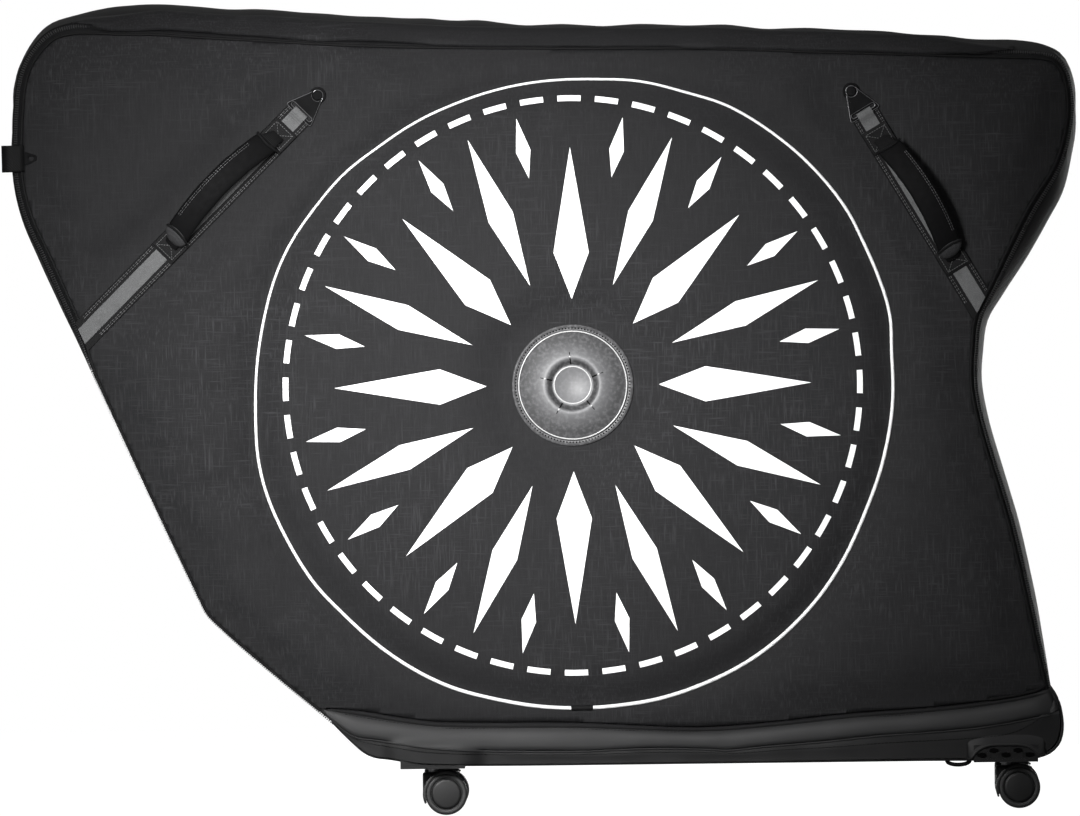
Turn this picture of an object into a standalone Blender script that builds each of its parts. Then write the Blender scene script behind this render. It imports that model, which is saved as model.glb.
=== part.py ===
"""Soft travel bag for a bicycle, on swivel casters. Metres, +Z up, the near side faces -Y.

The origin is on the floor under the middle of the bag. The near side panel is the door: it
hinges along the rim of the base tub and carries its wheel pocket, straps and hub cover.
"""

from math import asin, cos, pi, radians, sin, sqrt

import bmesh
import bpy
from mathutils import Matrix, Vector

# Gap between neighbouring pieces, running fit of a shaft, and how far a cutter passes what it cuts
CLEARANCE = 0.0003
RUNNING_FIT = 0.0001
OVERRUN = 0.02

# Overall sizes of the sewn bag, without its casters
BAG_LENGTH = 1.1955
BAG_HEIGHT = 0.8566
BASE_WIDTH = 0.300
TOP_WIDTH = 0.230
TOP_CROWN = 0.026

# Padded cloth
PANEL_THICKNESS = 0.006
GUSSET_THICKNESS = 0.004
OUTLINE_STEP = 0.042

# Silhouette of the bag: share of length, share of height, share of the top crown
OUTLINE_SHARES = (
    (-0.2021, 0.0567, 0.02), (-0.2206, 0.0858, 0.15), (-0.2504, 0.1125, 0.30),
    (-0.2940, 0.1577, 0.35), (-0.3180, 0.1986, 0.35), (-0.3802, 0.3763, 0.35),
    (-0.4495, 0.5867, 0.35), (-0.4751, 0.6656, 0.35), (-0.4905, 0.7182, 0.35),
    (-0.4990, 0.7707, 0.35), (-0.5000, 0.8300, 0.36), (-0.4954, 0.9079, 0.42),
    (-0.4858, 0.9405, 0.55), (-0.4658, 0.9728, 0.70), (-0.4423, 0.9868, 0.82),
    (-0.3935, 0.9964, 1.00), (-0.3600, 1.0000, 1.08), (-0.3204, 0.9959, 1.05),
    (-0.1332, 0.9776, 0.95), (-0.0021, 0.9675, 0.85), (0.1384, 0.9651, 0.85),
    (0.2789, 0.9569, 0.85), (0.3912, 0.9438, 0.62), (0.4427, 0.9371, 0.50),
    (0.4707, 0.9294, 0.42), (0.4884, 0.9134, 0.38), (0.4966, 0.8910, 0.34),
    (0.5000, 0.8483, 0.30), (0.4947, 0.7799, 0.52), (0.4868, 0.7382, 0.76),
    (0.4725, 0.7018, 0.85), (0.4524, 0.6537, 0.75), (0.4295, 0.6057, 0.50),
    (0.4151, 0.5720, 0.40), (0.4096, 0.5328, 0.35), (0.4088, 0.4936, 0.31),
    (0.4140, 0.4477, 0.30), (0.4419, 0.3099, 0.30), (0.4561, 0.2181, 0.28),
    (0.4630, 0.1526, 0.22), (0.4680, 0.0871, 0.05), (0.4698, 0.0500, 0.02),
)

# Base tub of coated cloth: wall and floor, and its outline as shares of length and height
TUB_WALL = 0.003
TUB_FLOOR = 0.0025
TUB_RIM_SHARES = (
    (-0.2141, 0.0752), (-0.1739, 0.0706), (-0.1075, 0.0564), (0.0227, 0.0529),
    (0.1397, 0.0444), (0.2026, 0.0498), (0.2785, 0.0603), (0.3536, 0.0669),
    (0.4042, 0.0739), (0.4680, 0.0872),
)
TUB_FOOT_SHARES = (
    (0.4754, 0.0739), (0.4790, 0.0516), (0.4787, 0.0242), (0.4711, 0.0080),
    (0.4590, 0.0000), (0.3660, 0.0000), (0.3570, -0.0007), (-0.0700, -0.0007),
    (-0.0790, 0.0000), (-0.1390, 0.0000), (-0.1697, 0.0149), (-0.2021, 0.0567),
)

# Zip along the near edge of the gusset, with its flap, sliders and pulls
TAPE_WIDTH = 0.005
TAPE_THICKNESS = 0.0015
FLAP_THICKNESS = 0.0015
FLAP_RISE = 0.0125
FLAP_LIP_RISE = 0.0060
FLAP_END_RISE = 0.0065
FLAP_TAPER = 0.25
FLAP_WIDTH = 0.038
FLAP_END_SHARES = (-0.440, 0.442)
SLIDER_LENGTH = 0.011
SLIDER_WIDTH = 0.008
SLIDER_HEIGHT = 0.0025
BRIDGE_GAP = 0.0022
BRIDGE_THICKNESS = 0.0012
BRIDGE_WIDTH = 0.0025
SLIDER_PLACE_SHARES = (0.020, 0.080)
PULL_LENGTH = 0.024
PULL_WIDTH = 0.008
PULL_THICKNESS = 0.0014
PULL_SIDE = 0.0014

# Piped ring on each side panel, round the wheel pocket
RING_RADIUS = 0.3545
RING_PLACE_SHARES = (0.0293, 0.4832)
PIPING_RADIUS = 0.002
POCKET_DEPTH = 0.050
POCKET_WALL = 0.003
POCKET_MARGIN = 0.004
POCKET_TOP_SHARE = 0.38

# Moulded hub cover
HUB_PLACE_SHARES = (0.0252, 0.4950)
HUB_RADIUS = 0.068
HUB_FLANGE = 0.0022
HUB_STEP = 0.0035
HUB_CREST = 0.015
HUB_DISH = 0.0085
HUB_WALL = 0.002
HUB_RING_SHARES = (0.885, 0.43, 0.36, 0.31)

# Lifting straps with a padded grip: stud places as shares, and runs along each strap
STRAP_NAMES = ("rear", "front")
STUD_PLACE_SHARES = ((-0.2106, 0.8776), (0.2893, 0.8747))
STRAP_END_SHARES = ((-0.4366, 0.5630), (0.4142, 0.5799))
GRIP_RUNS = ((0.063, 0.235), (0.062, 0.2195))
STRAP_WIDTH = 0.033
STRAP_THICKNESS = 0.002
STRAP_START = 0.026
PATCH_LENGTH = 0.028
PATCH_THICKNESS = 0.0015
GRIP_WIDTH = 0.029
GRIP_THICKNESS = 0.008
GRIP_NECK_WIDTH = 0.010
GRIP_NECK_THICKNESS = 0.004
GRIP_FOOT_LIFT = 0.0045
GRIP_REACH = 0.036
GRIP_LEAN = 0.010
GRIP_STATIONS = 13
GRIP_ARCH_POWER = 0.8
GRIP_SWELL_RATIO = 2.6

# Hook plate at the upper end of each strap, over its stud
HOOK_LENGTH = 0.0345
HOOK_WIDTH = 0.039
HOOK_NOSE = 0.011
HOOK_THICKNESS = 0.002
HOOK_HOLE_RADIUS = 0.0064
HOOK_SLOT_LENGTH = 0.029
HOOK_SLOT_WIDTH = 0.0045
HOOK_BAR = 0.0035
HOOK_CORNER = 0.0045
STUD_RADIUS = 0.0055
STUD_FLANGE_RADIUS = 0.0095
STUD_FLANGE = 0.0028
STUD_HEIGHT = 0.0072

# Tab at the rear end with its small plate
TAB_PLACE_SHARE = 0.800
TAB_HEIGHT = 0.030
TAB_THICKNESS = 0.0035
TAB_REACH = 0.034
TAB_LAP = 0.012
TAB_PLATE_LENGTH = 0.014
TAB_PLATE_HEIGHT = 0.016
TAB_PLATE_THICKNESS = 0.0015
TAB_PLATE_HOLE_RADIUS = 0.0027

# Stiff base inside the tub
BOARD_THICKNESS = 0.006
BOARD_END_SHARES = (-0.1340, 0.4560)
FRAME_TUBE_RADIUS = 0.008
FRAME_END_SHARES = (-0.0790, 0.3950)
FRAME_POCKET_GAP = 0.002
FRAME_CORNER = 0.035
CRADLE_PLACE_SHARE = 0.080
CRADLE_LENGTH = 0.150
CRADLE_FOOT_HEIGHT = 0.020
CRADLE_BLOCK_WIDTH = 0.110
CRADLE_BLOCK_HEIGHT = 0.110
GROOVE_RADIUS = 0.030
STRAP_LOOP_WIDTH = 0.025
STRAP_LOOP_THICKNESS = 0.002
STRAP_LOOP_RISE = 0.060
STRAP_LOOP_TAIL = 0.050

# Webbing loop under the near edge of the tub
LOOP_MOUNT_GAP = 0.0010
LOOP_WIDTH = 0.0325
LOOP_DROP = 0.0080
LOOP_LENGTH = 0.032
LOOP_THICKNESS = 0.0018
LOOP_INSET = 0.010
LOOP_STEPS = 12

# Twin-wheel swivel casters
CASTER_PLACE_SHARES = (-0.1103, 0.4266)
CASTER_NAMES = ("rear", "front")
CASTER_SIDE_INSET = 0.046
WHEEL_RADIUS = 0.0235
WHEEL_WIDTH = 0.013
WHEEL_HUB_RADIUS = 0.0175
WHEEL_DISH = 0.0015
WHEEL_BEVEL = 0.0018
AXLE_RADIUS = 0.003
HOOD_GAP = 0.0008
HOOD_THICKNESS = 0.0022
HOOD_WEB = 0.007
HOOD_START_DEG = 62.0
HOOD_END_DEG = 212.0
HOOD_STEPS = 10
HOOD_BOSS_RADIUS = 0.0072
HOOD_BOSS_DEG = (250, 285, 320, 355, 30)
TRAIL = 0.0148
STEM_RADIUS = 0.005
STEM_RISE = 0.015
MOUNT_GAP = 0.0025
MOUNT_THICKNESS = 0.003
MOUNT_LENGTH = 0.072
MOUNT_WIDTH = 0.075
SKIRT_HEIGHT = 0.016
SKIRT_THICKNESS = 0.0035
SOCKET_RADIUS = 0.009
SOCKET_HEIGHT = 0.017
CELL_PITCH = 0.0092
CELL_RIB = 0.0014
CELL_DEPTH = 0.0016

# Facets
ROUND_SIDES = 20
TUBE_SIDES = 8
CORD_SIDES = 6
RING_STEPS = 56

# Heights worked out from the casters, upwards from the floor
HOOD_RADIUS = WHEEL_RADIUS + HOOD_GAP + HOOD_THICKNESS
MOUNT_UNDERSIDE = WHEEL_RADIUS + HOOD_RADIUS + MOUNT_GAP
BASE_HEIGHT = MOUNT_UNDERSIDE + MOUNT_THICKNESS + CLEARANCE
LEAN = (BASE_WIDTH - TOP_WIDTH) / 2 / BAG_HEIGHT
ZIP_DEPTH = PANEL_THICKNESS + CLEARANCE + TAPE_WIDTH + CLEARANCE / 2
GUSSET_DEPTH = PANEL_THICKNESS + 2 * TAPE_WIDTH + 3 * CLEARANCE


def place(shares):
    """Point (x, z) of the side view from shares of the bag's length and height."""
    return Vector((shares[0] * BAG_LENGTH, BASE_HEIGHT + shares[1] * BAG_HEIGHT))


def half_width(z):
    """Half the bag's width at a height: its sides lean in towards the top."""
    return BASE_WIDTH / 2 - LEAN * (z - BASE_HEIGHT)


def clear_scene():
    for item in list(bpy.data.objects):
        bpy.data.objects.remove(item, do_unlink=True)


def material(name, colour, roughness, metallic=0.0):
    """A plain Principled material, made once under its name."""
    made = bpy.data.materials.get(name)
    if made is None:
        made = bpy.data.materials.new(name)
        made.use_nodes = True
        shader = made.node_tree.nodes["Principled BSDF"]
        shader.inputs["Base Color"].default_value = (*colour, 1.0)
        shader.inputs["Roughness"].default_value = roughness
        shader.inputs["Metallic"].default_value = metallic
    return made


def woven_cloth():
    return material("woven_cloth", (0.035, 0.035, 0.037), 0.85)


def coated_cloth():
    return material("coated_cloth", (0.06, 0.06, 0.063), 0.45)


def black_webbing():
    return material("black_webbing", (0.02, 0.02, 0.022), 0.8)


def grey_webbing():
    return material("grey_webbing", (0.25, 0.25, 0.26), 0.55)


def white_piping():
    return material("white_piping", (0.8, 0.8, 0.8), 0.5)


def moulded_grey():
    return material("moulded_grey", (0.14, 0.14, 0.145), 0.4)


def moulded_black():
    return material("moulded_black", (0.015, 0.015, 0.016), 0.4)


def neoprene():
    return material("neoprene", (0.018, 0.018, 0.02), 0.9)


def black_metal():
    return material("black_metal", (0.03, 0.03, 0.032), 0.35, 1.0)


def zinc_metal():
    return material("zinc_metal", (0.62, 0.62, 0.63), 0.3, 1.0)


def board_plastic():
    return material("board_plastic", (0.05, 0.05, 0.05), 0.6)


def foam():
    return material("foam", (0.07, 0.07, 0.075), 0.95)


def add_object(name, bm, finish, frame=None, smooth=True):
    """Makes a named object of a bmesh, with its material and its place."""
    bmesh.ops.remove_doubles(bm, verts=bm.verts[:], dist=CLEARANCE / 1000)
    bmesh.ops.recalc_face_normals(bm, faces=bm.faces[:])
    mesh = bpy.data.meshes.new(name)
    bm.to_mesh(mesh)
    bm.free()
    if smooth:
        mesh.shade_smooth()
        mesh.set_sharp_from_angle(angle=radians(40))
    made = bpy.data.objects.new(name, mesh)
    bpy.context.collection.objects.link(made)
    made.data.materials.append(finish)
    if frame is not None:
        made.matrix_world = frame
    return made


def add_cutter(name, bm, frame=None):
    """A helper shape for Booleans, left out of renders."""
    made = add_object(name, bm, moulded_black(), frame, smooth=False)
    made.hide_render = True
    made.display_type = "WIRE"
    return made


def combine(target, operation, other):
    """Adds a Boolean modifier: DIFFERENCE, INTERSECT or UNION."""
    step = target.modifiers.new(operation.lower() + "_" + other.name, "BOOLEAN")
    step.operation = operation
    step.solver = "EXACT"
    step.object = other


def add_axis(name, frame):
    """An empty that stands on a joint's axis."""
    made = bpy.data.objects.new(name, None)
    bpy.context.collection.objects.link(made)
    made.empty_display_size = OVERRUN
    made.matrix_world = frame
    return made


def hang_on(parent, children):
    """Parents the children without moving them."""
    bpy.context.view_layer.update()
    for child in children:
        child.parent = parent
        child.matrix_parent_inverse = parent.matrix_world.inverted()
    bpy.context.view_layer.update()


def loft(sections, closed=False):
    """Skins sections with the same number of points, with end caps unless it runs in a ring."""
    bm = bmesh.new()
    rings = [[bm.verts.new(point) for point in section] for section in sections]
    count = len(rings[0])
    pairs = list(zip(rings, rings[1:]))
    if closed:
        pairs.append((rings[-1], rings[0]))
    for ring, following in pairs:
        for i in range(count):
            j = (i + 1) % count
            bm.faces.new((ring[i], ring[j], following[j], following[i]))
    if not closed:
        bm.faces.new(rings[0])
        bm.faces.new(rings[-1])
    return bm


def turned(profile, sides=ROUND_SIDES):
    """A solid of revolution about local Z from a closed profile of (radius, height)."""
    sections = []
    for step in range(sides):
        angle = 2 * pi * step / sides
        sections.append([(r * cos(angle), r * sin(angle), h) for r, h in profile])
    return loft(sections, closed=True)


def post(radius, low, high, sides=ROUND_SIDES):
    """A cylinder about local Z."""
    sections = []
    for height in (low, high):
        ring = [2 * pi * step / sides for step in range(sides)]
        sections.append([(radius * cos(a), radius * sin(a), height) for a in ring])
    return loft(sections)


def prism(outline, low, high):
    """Extrudes an outline of local (x, y) points from one height to another."""
    bm = bmesh.new()
    face = bm.faces.new([bm.verts.new((x, y, low)) for x, y in outline])
    made = bmesh.ops.extrude_face_region(bm, geom=[face])
    moved = [item for item in made["geom"] if isinstance(item, bmesh.types.BMVert)]
    bmesh.ops.translate(bm, verts=moved, vec=(0, 0, high - low))
    return bm


def slab(outline, near_depth, far_depth):
    """A plate that leans with the near side, from an outline of (x, z) points and two depths."""
    bm = bmesh.new()
    corners = [(x, near_depth - half_width(z), z) for x, z in outline]
    face = bm.faces.new([bm.verts.new(corner) for corner in corners])
    made = bmesh.ops.extrude_face_region(bm, geom=[face])
    moved = [item for item in made["geom"] if isinstance(item, bmesh.types.BMVert)]
    bmesh.ops.translate(bm, verts=moved, vec=(0, far_depth - near_depth, 0))
    return bm


def body_block(outline, inset):
    """A block between both leaning sides, each moved in by the inset."""
    sections = []
    for side in (-1, 1):
        sections.append([(x, side * (half_width(z) - inset), z) for x, z in outline])
    return loft(sections)


def mirrored(bm):
    """The same shape on the far side."""
    bmesh.ops.scale(bm, vec=(1, -1, 1), verts=bm.verts[:])
    bmesh.ops.reverse_faces(bm, faces=bm.faces[:])
    return bm


def rounded(corners, radius, steps=4):
    """The outline of a polygon whose corners are rounded by short arcs."""
    points = []
    count = len(corners)
    for i in range(count):
        here = Vector(corners[i])
        before = (Vector(corners[i - 1]) - here).normalized()
        after = (Vector(corners[(i + 1) % count]) - here).normalized()
        half = before.angle(after) / 2
        reach = radius / sin(half) * cos(half)
        middle = here + (before + after).normalized() * radius / sin(half)
        start = here + before * reach - middle
        turn = start.angle_signed(here + after * reach - middle)
        for step in range(steps + 1):
            arm = start.copy()
            arm.rotate(Matrix.Rotation(-turn * step / steps, 2))
            points.append(middle + arm)
    return points


def smooth_run(points, step):
    """Points about a step apart on a centripetal Catmull-Rom curve through the given ones."""
    points = [Vector(point) for point in points]
    points = [2 * points[0] - points[1], *points, 2 * points[-1] - points[-2]]
    run = [points[1]]
    for p0, p1, p2, p3 in zip(points, points[1:], points[2:], points[3:]):
        t1 = sqrt((p1 - p0).xy.length)
        t2 = t1 + sqrt((p2 - p1).xy.length)
        t3 = t2 + sqrt((p3 - p2).xy.length)
        parts = max(1, round((p2 - p1).xy.length / step))
        for part in range(1, parts + 1):
            t = t1 + (t2 - t1) * part / parts
            a1 = p0 * ((t1 - t) / t1) + p1 * (t / t1)
            a2 = p1 * ((t2 - t) / (t2 - t1)) + p2 * ((t - t1) / (t2 - t1))
            a3 = p2 * ((t3 - t) / (t3 - t2)) + p3 * ((t - t2) / (t3 - t2))
            b1 = a1 * ((t2 - t) / t2) + a2 * (t / t2)
            b2 = a2 * ((t3 - t) / (t3 - t1)) + a3 * ((t - t1) / (t3 - t1))
            run.append(b1 * ((t2 - t) / (t2 - t1)) + b2 * ((t - t1) / (t2 - t1)))
    return run


class Station:
    """One place along the seam: the seam point, the way out, the way along and the crown."""

    def __init__(self, before, here, after):
        along = (after.xy - before.xy).normalized()
        self.along = along
        self.out = Vector((-along.y, along.x))
        self.crown = here.z
        self.seam = here.xy - self.out * here.z
        self.half = half_width(self.seam.y)

    def rise(self, depth):
        """How far the gusset stands out of the seam at a depth behind the near face."""
        span = 2 * (self.half - PANEL_THICKNESS)
        share = (depth - PANEL_THICKNESS) / span
        return self.crown * (1 - (1 - 2 * share) ** 2)

    def point(self, depth, lift=0.0):
        spot = self.seam + self.out * (self.rise(max(depth, PANEL_THICKNESS)) + lift)
        return Vector((spot.x, depth - self.half, spot.y))


def seam_stations():
    """Stations from the tub's rear end, over the top and down to its front end."""
    corners = []
    for x_share, z_share, crown_share in OUTLINE_SHARES:
        spot = place((x_share, z_share))
        corners.append((spot.x, spot.y, crown_share * TOP_CROWN))
    run = smooth_run(corners, OUTLINE_STEP)
    run = [2 * run[0] - run[1], *run, 2 * run[-1] - run[-2]]
    return [Station(*three) for three in zip(run, run[1:], run[2:])]


def top_stations(stations, low_share, high_share):
    """The stations of the top run between two shares of the length."""
    low, high = low_share * BAG_LENGTH, high_share * BAG_LENGTH
    return [s for s in stations if s.out.y > abs(s.out.x) and low <= s.seam.x <= high]


def band(stations, depths, thickness):
    """A strip along the stations: its outer skin at each depth, and its inner skin below that."""
    sections = []
    for station in stations:
        outer = [station.point(depth) for depth in depths(station)]
        inner = [station.point(depth, -thickness) for depth in reversed(depths(station))]
        sections.append(outer + inner)
    return loft(sections)


def rim_cutter():
    """What lies below the tub's rim, with the running gap, to trim cloth that meets the tub."""
    rim = [place(shares) + Vector((0, CLEARANCE)) for shares in TUB_RIM_SHARES]
    left = Vector((-BAG_LENGTH, rim[0].y))
    right = Vector((BAG_LENGTH, rim[-1].y))
    outline = [left, *rim, right, Vector((BAG_LENGTH, -OVERRUN)), Vector((-BAG_LENGTH, -OVERRUN))]
    return add_cutter("rim_cutter", body_block(outline, -OVERRUN))


def build_side_panels(stations, trimmer):
    outline = [station.seam for station in stations]
    panels = []
    for side, turn in (("near", lambda bm: bm), ("far", mirrored)):
        bm = turn(slab(outline, 0, PANEL_THICKNESS))
        panel = add_object(side + "_side_panel", bm, woven_cloth(), smooth=False)
        combine(panel, "DIFFERENCE", trimmer)
        panels.append(panel)
    return panels


def build_gusset(stations, trimmer):
    skin_shares = (0, 0.2, 0.5, 0.8, 1)

    def depths(station):
        far = 2 * station.half - PANEL_THICKNESS - CLEARANCE
        return [GUSSET_DEPTH + (far - GUSSET_DEPTH) * share for share in skin_shares]

    gusset = add_object("gusset", band(stations, depths, GUSSET_THICKNESS), woven_cloth())
    combine(gusset, "DIFFERENCE", trimmer)
    return gusset


def build_zip_tapes(stations, trimmer):
    tapes = []
    starts = {"door_zip_tape": PANEL_THICKNESS + CLEARANCE}
    starts["gusset_zip_tape"] = starts["door_zip_tape"] + TAPE_WIDTH + CLEARANCE
    for name, start in starts.items():
        ends = (start, start + TAPE_WIDTH)
        tape = add_object(name, band(stations, lambda s: ends, TAPE_THICKNESS), black_webbing())
        combine(tape, "DIFFERENCE", trimmer)
        tapes.append(tape)
    return tapes


def build_rain_flap(stations):
    """A strip sewn to the gusset behind the zip, whose free lip hangs over the zip."""
    sewn = FLAP_THICKNESS + 2 * CLEARANCE
    lip = PANEL_THICKNESS / 3
    run = top_stations(stations, *FLAP_END_SHARES)
    sections = []
    for station in run:
        to_end = min(station.seam.x - run[0].seam.x, run[-1].seam.x - station.seam.x)
        swell = FLAP_END_RISE + (FLAP_RISE - FLAP_END_RISE) * min(1, to_end / FLAP_TAPER)
        skin = (
            (lip, FLAP_LIP_RISE + FLAP_THICKNESS), (PANEL_THICKNESS, swell),
            (ZIP_DEPTH - TAPE_WIDTH / 2, swell), (GUSSET_DEPTH + TAPE_WIDTH / 2, swell),
            (FLAP_WIDTH * 3 / 4, sewn), (FLAP_WIDTH, sewn),
        )
        outer = [station.point(depth, lift) for depth, lift in skin]
        inner = [station.point(depth, lift - FLAP_THICKNESS) for depth, lift in reversed(skin)]
        sections.append(outer + inner)
    return add_object("rain_flap", loft(sections), woven_cloth())


def zip_frame(stations, x_share):
    """Frame on the zip's middle line: X along it, Y across it, Z out of the tape."""
    run = top_stations(stations, -1, 1)
    target = x_share * BAG_LENGTH
    after = next(i for i, station in enumerate(run) if station.seam.x > target)
    first, second = run[after - 1], run[after]
    low, high = ZIP_DEPTH - TAPE_WIDTH, ZIP_DEPTH + TAPE_WIDTH
    spans = [(first.point(depth), second.point(depth)) for depth in (low, high)]
    share = (target - first.seam.x) / (second.seam.x - first.seam.x)
    edges = [a.lerp(b, share) for a, b in spans]
    x_axis = (spans[0][1] - spans[0][0]).normalized()
    y_axis = edges[1] - edges[0]
    y_axis = (y_axis - x_axis * y_axis.dot(x_axis)).normalized()
    z_axis = x_axis.cross(y_axis)
    spot = (edges[0] + edges[1]) / 2 + z_axis * 4 * CLEARANCE
    frame = Matrix((x_axis, y_axis, z_axis)).transposed().to_4x4()
    frame.translation = spot
    return frame


def box(x, y, z):
    """A block between pairs of low and high values."""
    return prism(((x[0], y[0]), (x[1], y[0]), (x[1], y[1]), (x[0], y[1])), *z)


def build_zip_slider(number, frame):
    """A slider with a bridge, and a pull whose end bar lies under the bridge."""
    half_length, half_side = SLIDER_LENGTH / 2, SLIDER_WIDTH / 2
    corners = [(-half_length, -half_side), (half_length, -half_side / 2)]
    corners += [(half_length, half_side / 2), (-half_length, half_side)]
    bm = prism(rounded(corners, SLIDER_HEIGHT / 3), 0, SLIDER_HEIGHT)
    slider = add_object(f"zip_slider_{number}", bm, black_metal(), frame)
    reach = BRIDGE_GAP / 2 + BRIDGE_THICKNESS
    top = SLIDER_HEIGHT + BRIDGE_GAP + BRIDGE_THICKNESS
    arch = [(-reach, SLIDER_HEIGHT / 2), (-reach, top), (reach, top), (reach, SLIDER_HEIGHT / 2)]
    arch += [(reach - BRIDGE_THICKNESS, SLIDER_HEIGHT / 2)]
    arch += [(reach - BRIDGE_THICKNESS, top - BRIDGE_THICKNESS)]
    arch += [(BRIDGE_THICKNESS - reach, top - BRIDGE_THICKNESS)]
    arch += [(BRIDGE_THICKNESS - reach, SLIDER_HEIGHT / 2)]
    upright = frame @ Matrix.Rotation(pi / 2, 4, "X")
    half_bridge = BRIDGE_WIDTH / 2
    bridge = add_cutter(f"bridge_{number}", prism(arch, -half_bridge, half_bridge), upright)
    combine(slider, "UNION", bridge)
    pivot = frame @ Matrix.Translation((0, 0, SLIDER_HEIGHT + BRIDGE_GAP / 2))
    half_pull = PULL_WIDTH / 2
    bar = PULL_THICKNESS / 2
    corners = [(-bar, -half_pull), (PULL_LENGTH, -half_pull)]
    corners += [(PULL_LENGTH, half_pull), (-bar, half_pull)]
    pull_bm = prism(rounded(corners, bar), -bar, bar)
    pull = add_object(f"zip_pull_{number}", pull_bm, black_metal(), pivot)
    eye = PULL_WIDTH / 2 - PULL_SIDE
    window = box((bar, reach + bar + BRIDGE_THICKNESS), (-eye, eye), (-OVERRUN, OVERRUN))
    combine(pull, "DIFFERENCE", add_cutter(f"pull_eye_{number}", window, pivot))
    return slider, pull


def ring_outline(centre, radius, steps, start=0.0, end=2 * pi):
    """Points on an arc of the side view; a full turn leaves out the repeated last point."""
    whole = abs(end - start - 2 * pi) < 1 / RING_STEPS**2
    last = steps if whole else steps + 1
    angles = [start + (end - start) * step / steps for step in range(last)]
    return [centre + Vector((cos(a), sin(a))) * radius for a in angles]


def build_piping(side, turn):
    """A cord sewn in a ring on the panel."""
    centre = place(RING_PLACE_SHARES)
    sections = []
    for step in range(RING_STEPS):
        angle = 2 * pi * step / RING_STEPS
        outward = Vector((cos(angle), sin(angle)))
        section = []
        for side_step in range(CORD_SIDES):
            around = 2 * pi * side_step / CORD_SIDES
            spot = centre + outward * (RING_RADIUS + PIPING_RADIUS * cos(around))
            depth = PIPING_RADIUS * sin(around) - PIPING_RADIUS - CLEARANCE
            section.append((spot.x, depth - half_width(spot.y), spot.y))
        sections.append(section)
    return add_object(side + "_piping", turn(loft(sections, closed=True)), white_piping())


def build_wheel_pocket(side, turn):
    """A flat pouch behind the panel, open at the top and towards the panel."""
    centre = place(RING_PLACE_SHARES)
    radius = RING_RADIUS - POCKET_MARGIN
    start = pi - asin(POCKET_TOP_SHARE)
    outer = ring_outline(centre, radius, RING_STEPS // 2, start, 3 * pi - start)
    near = PANEL_THICKNESS + CLEARANCE
    pocket = add_object(side + "_wheel_pocket", turn(slab(outer, near, near + POCKET_DEPTH)),
                        black_webbing(), smooth=False)
    hollow_radius = radius - POCKET_WALL
    inner = ring_outline(centre, hollow_radius, RING_STEPS // 2, start, 3 * pi - start)
    inner += [Vector((inner[-1].x, inner[-1].y + OVERRUN)), Vector((inner[0].x, inner[0].y + OVERRUN))]
    hollow = turn(slab(inner, -OVERRUN, near + POCKET_DEPTH - POCKET_WALL))
    combine(pocket, "DIFFERENCE", add_cutter(side + "_pocket_hollow", hollow))
    return pocket


def panel_frame(spot, side, along=None):
    """Frame on a side panel's outer face: Z out of the face, X along a side-view direction."""
    sign = -1 if side == "near" else 1
    z_axis = Vector((0, sign, LEAN)).normalized()
    along = along or Vector((1, 0))
    x_axis = Vector((along.x, -sign * LEAN * along.y, along.y)).normalized()
    frame = Matrix((x_axis, z_axis.cross(x_axis), z_axis)).transposed().to_4x4()
    frame.translation = Vector((spot.x, sign * half_width(spot.y), spot.y))
    return frame


def build_hub_cover(side):
    """A turned shell: flat flange, low dome, a crest and a dished centre."""
    step, crest, bowl, centre = (HUB_RADIUS * share for share in HUB_RING_SHARES)
    skin = [
        (HUB_RADIUS, HUB_FLANGE), (step, HUB_FLANGE), (step - HUB_STEP, HUB_STEP + HUB_FLANGE),
        ((step + crest) / 2, (HUB_CREST + HUB_STEP) / 2 + HUB_FLANGE), (crest, HUB_CREST),
        (bowl, HUB_CREST - HUB_WALL / 2), (centre, HUB_DISH), (HUB_STEP / 4, HUB_DISH),
    ]
    inside = [(HUB_STEP / 4, HUB_DISH - HUB_WALL), (centre + HUB_WALL, HUB_DISH - HUB_WALL)]
    inside += [(crest, HUB_CREST - 2 * HUB_WALL), (step - HUB_STEP - HUB_WALL, HUB_STEP)]
    inside += [(step - HUB_STEP - HUB_WALL, 0), (HUB_RADIUS, 0)]
    frame = panel_frame(place(HUB_PLACE_SHARES), side) @ Matrix.Translation((0, 0, CLEARANCE))
    return add_object(side + "_hub_cover", turned(skin + inside), moulded_grey(), frame)


def strap_frame(number, side):
    """Frame at a strap's stud: X runs down the strap, Z out of the panel."""
    stud = place(STUD_PLACE_SHARES[number])
    along = (place(STRAP_END_SHARES[number]) - stud).normalized()
    return panel_frame(stud, side, along)


def strap_length(number):
    return (place(STRAP_END_SHARES[number]) - place(STUD_PLACE_SHARES[number])).length


def seam_limits(stations):
    """Cutter that keeps a strap within the panel's edge."""
    outline = [station.seam - station.out * CLEARANCE for station in stations]
    return add_cutter("panel_limits", body_block(outline, -OVERRUN))


def build_strap(number, side, limits):
    """Webbing that lies on the panel, with a sewn patch under each end of the grip."""
    frame = strap_frame(number, side)
    low, high = CLEARANCE, CLEARANCE + STRAP_THICKNESS
    skin = [(STRAP_START, low), (STRAP_START, high)]
    for run in GRIP_RUNS[number]:
        for edge in (run - PATCH_LENGTH / 2, run + PATCH_LENGTH / 2):
            levels = (high, high + PATCH_THICKNESS)
            skin += [(edge, level) for level in (levels if edge < run else reversed(levels))]
    end = strap_length(number) + STRAP_WIDTH
    skin += [(end, high), (end, low)]
    sections = [[(x, y, z) for x, z in skin] for y in (-STRAP_WIDTH / 2, STRAP_WIDTH / 2)]
    name = f"{side}_{STRAP_NAMES[number]}_strap"
    strap = add_object(name, loft(sections), grey_webbing(), frame, smooth=False)
    combine(strap, "INTERSECT", limits)
    return strap


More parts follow.
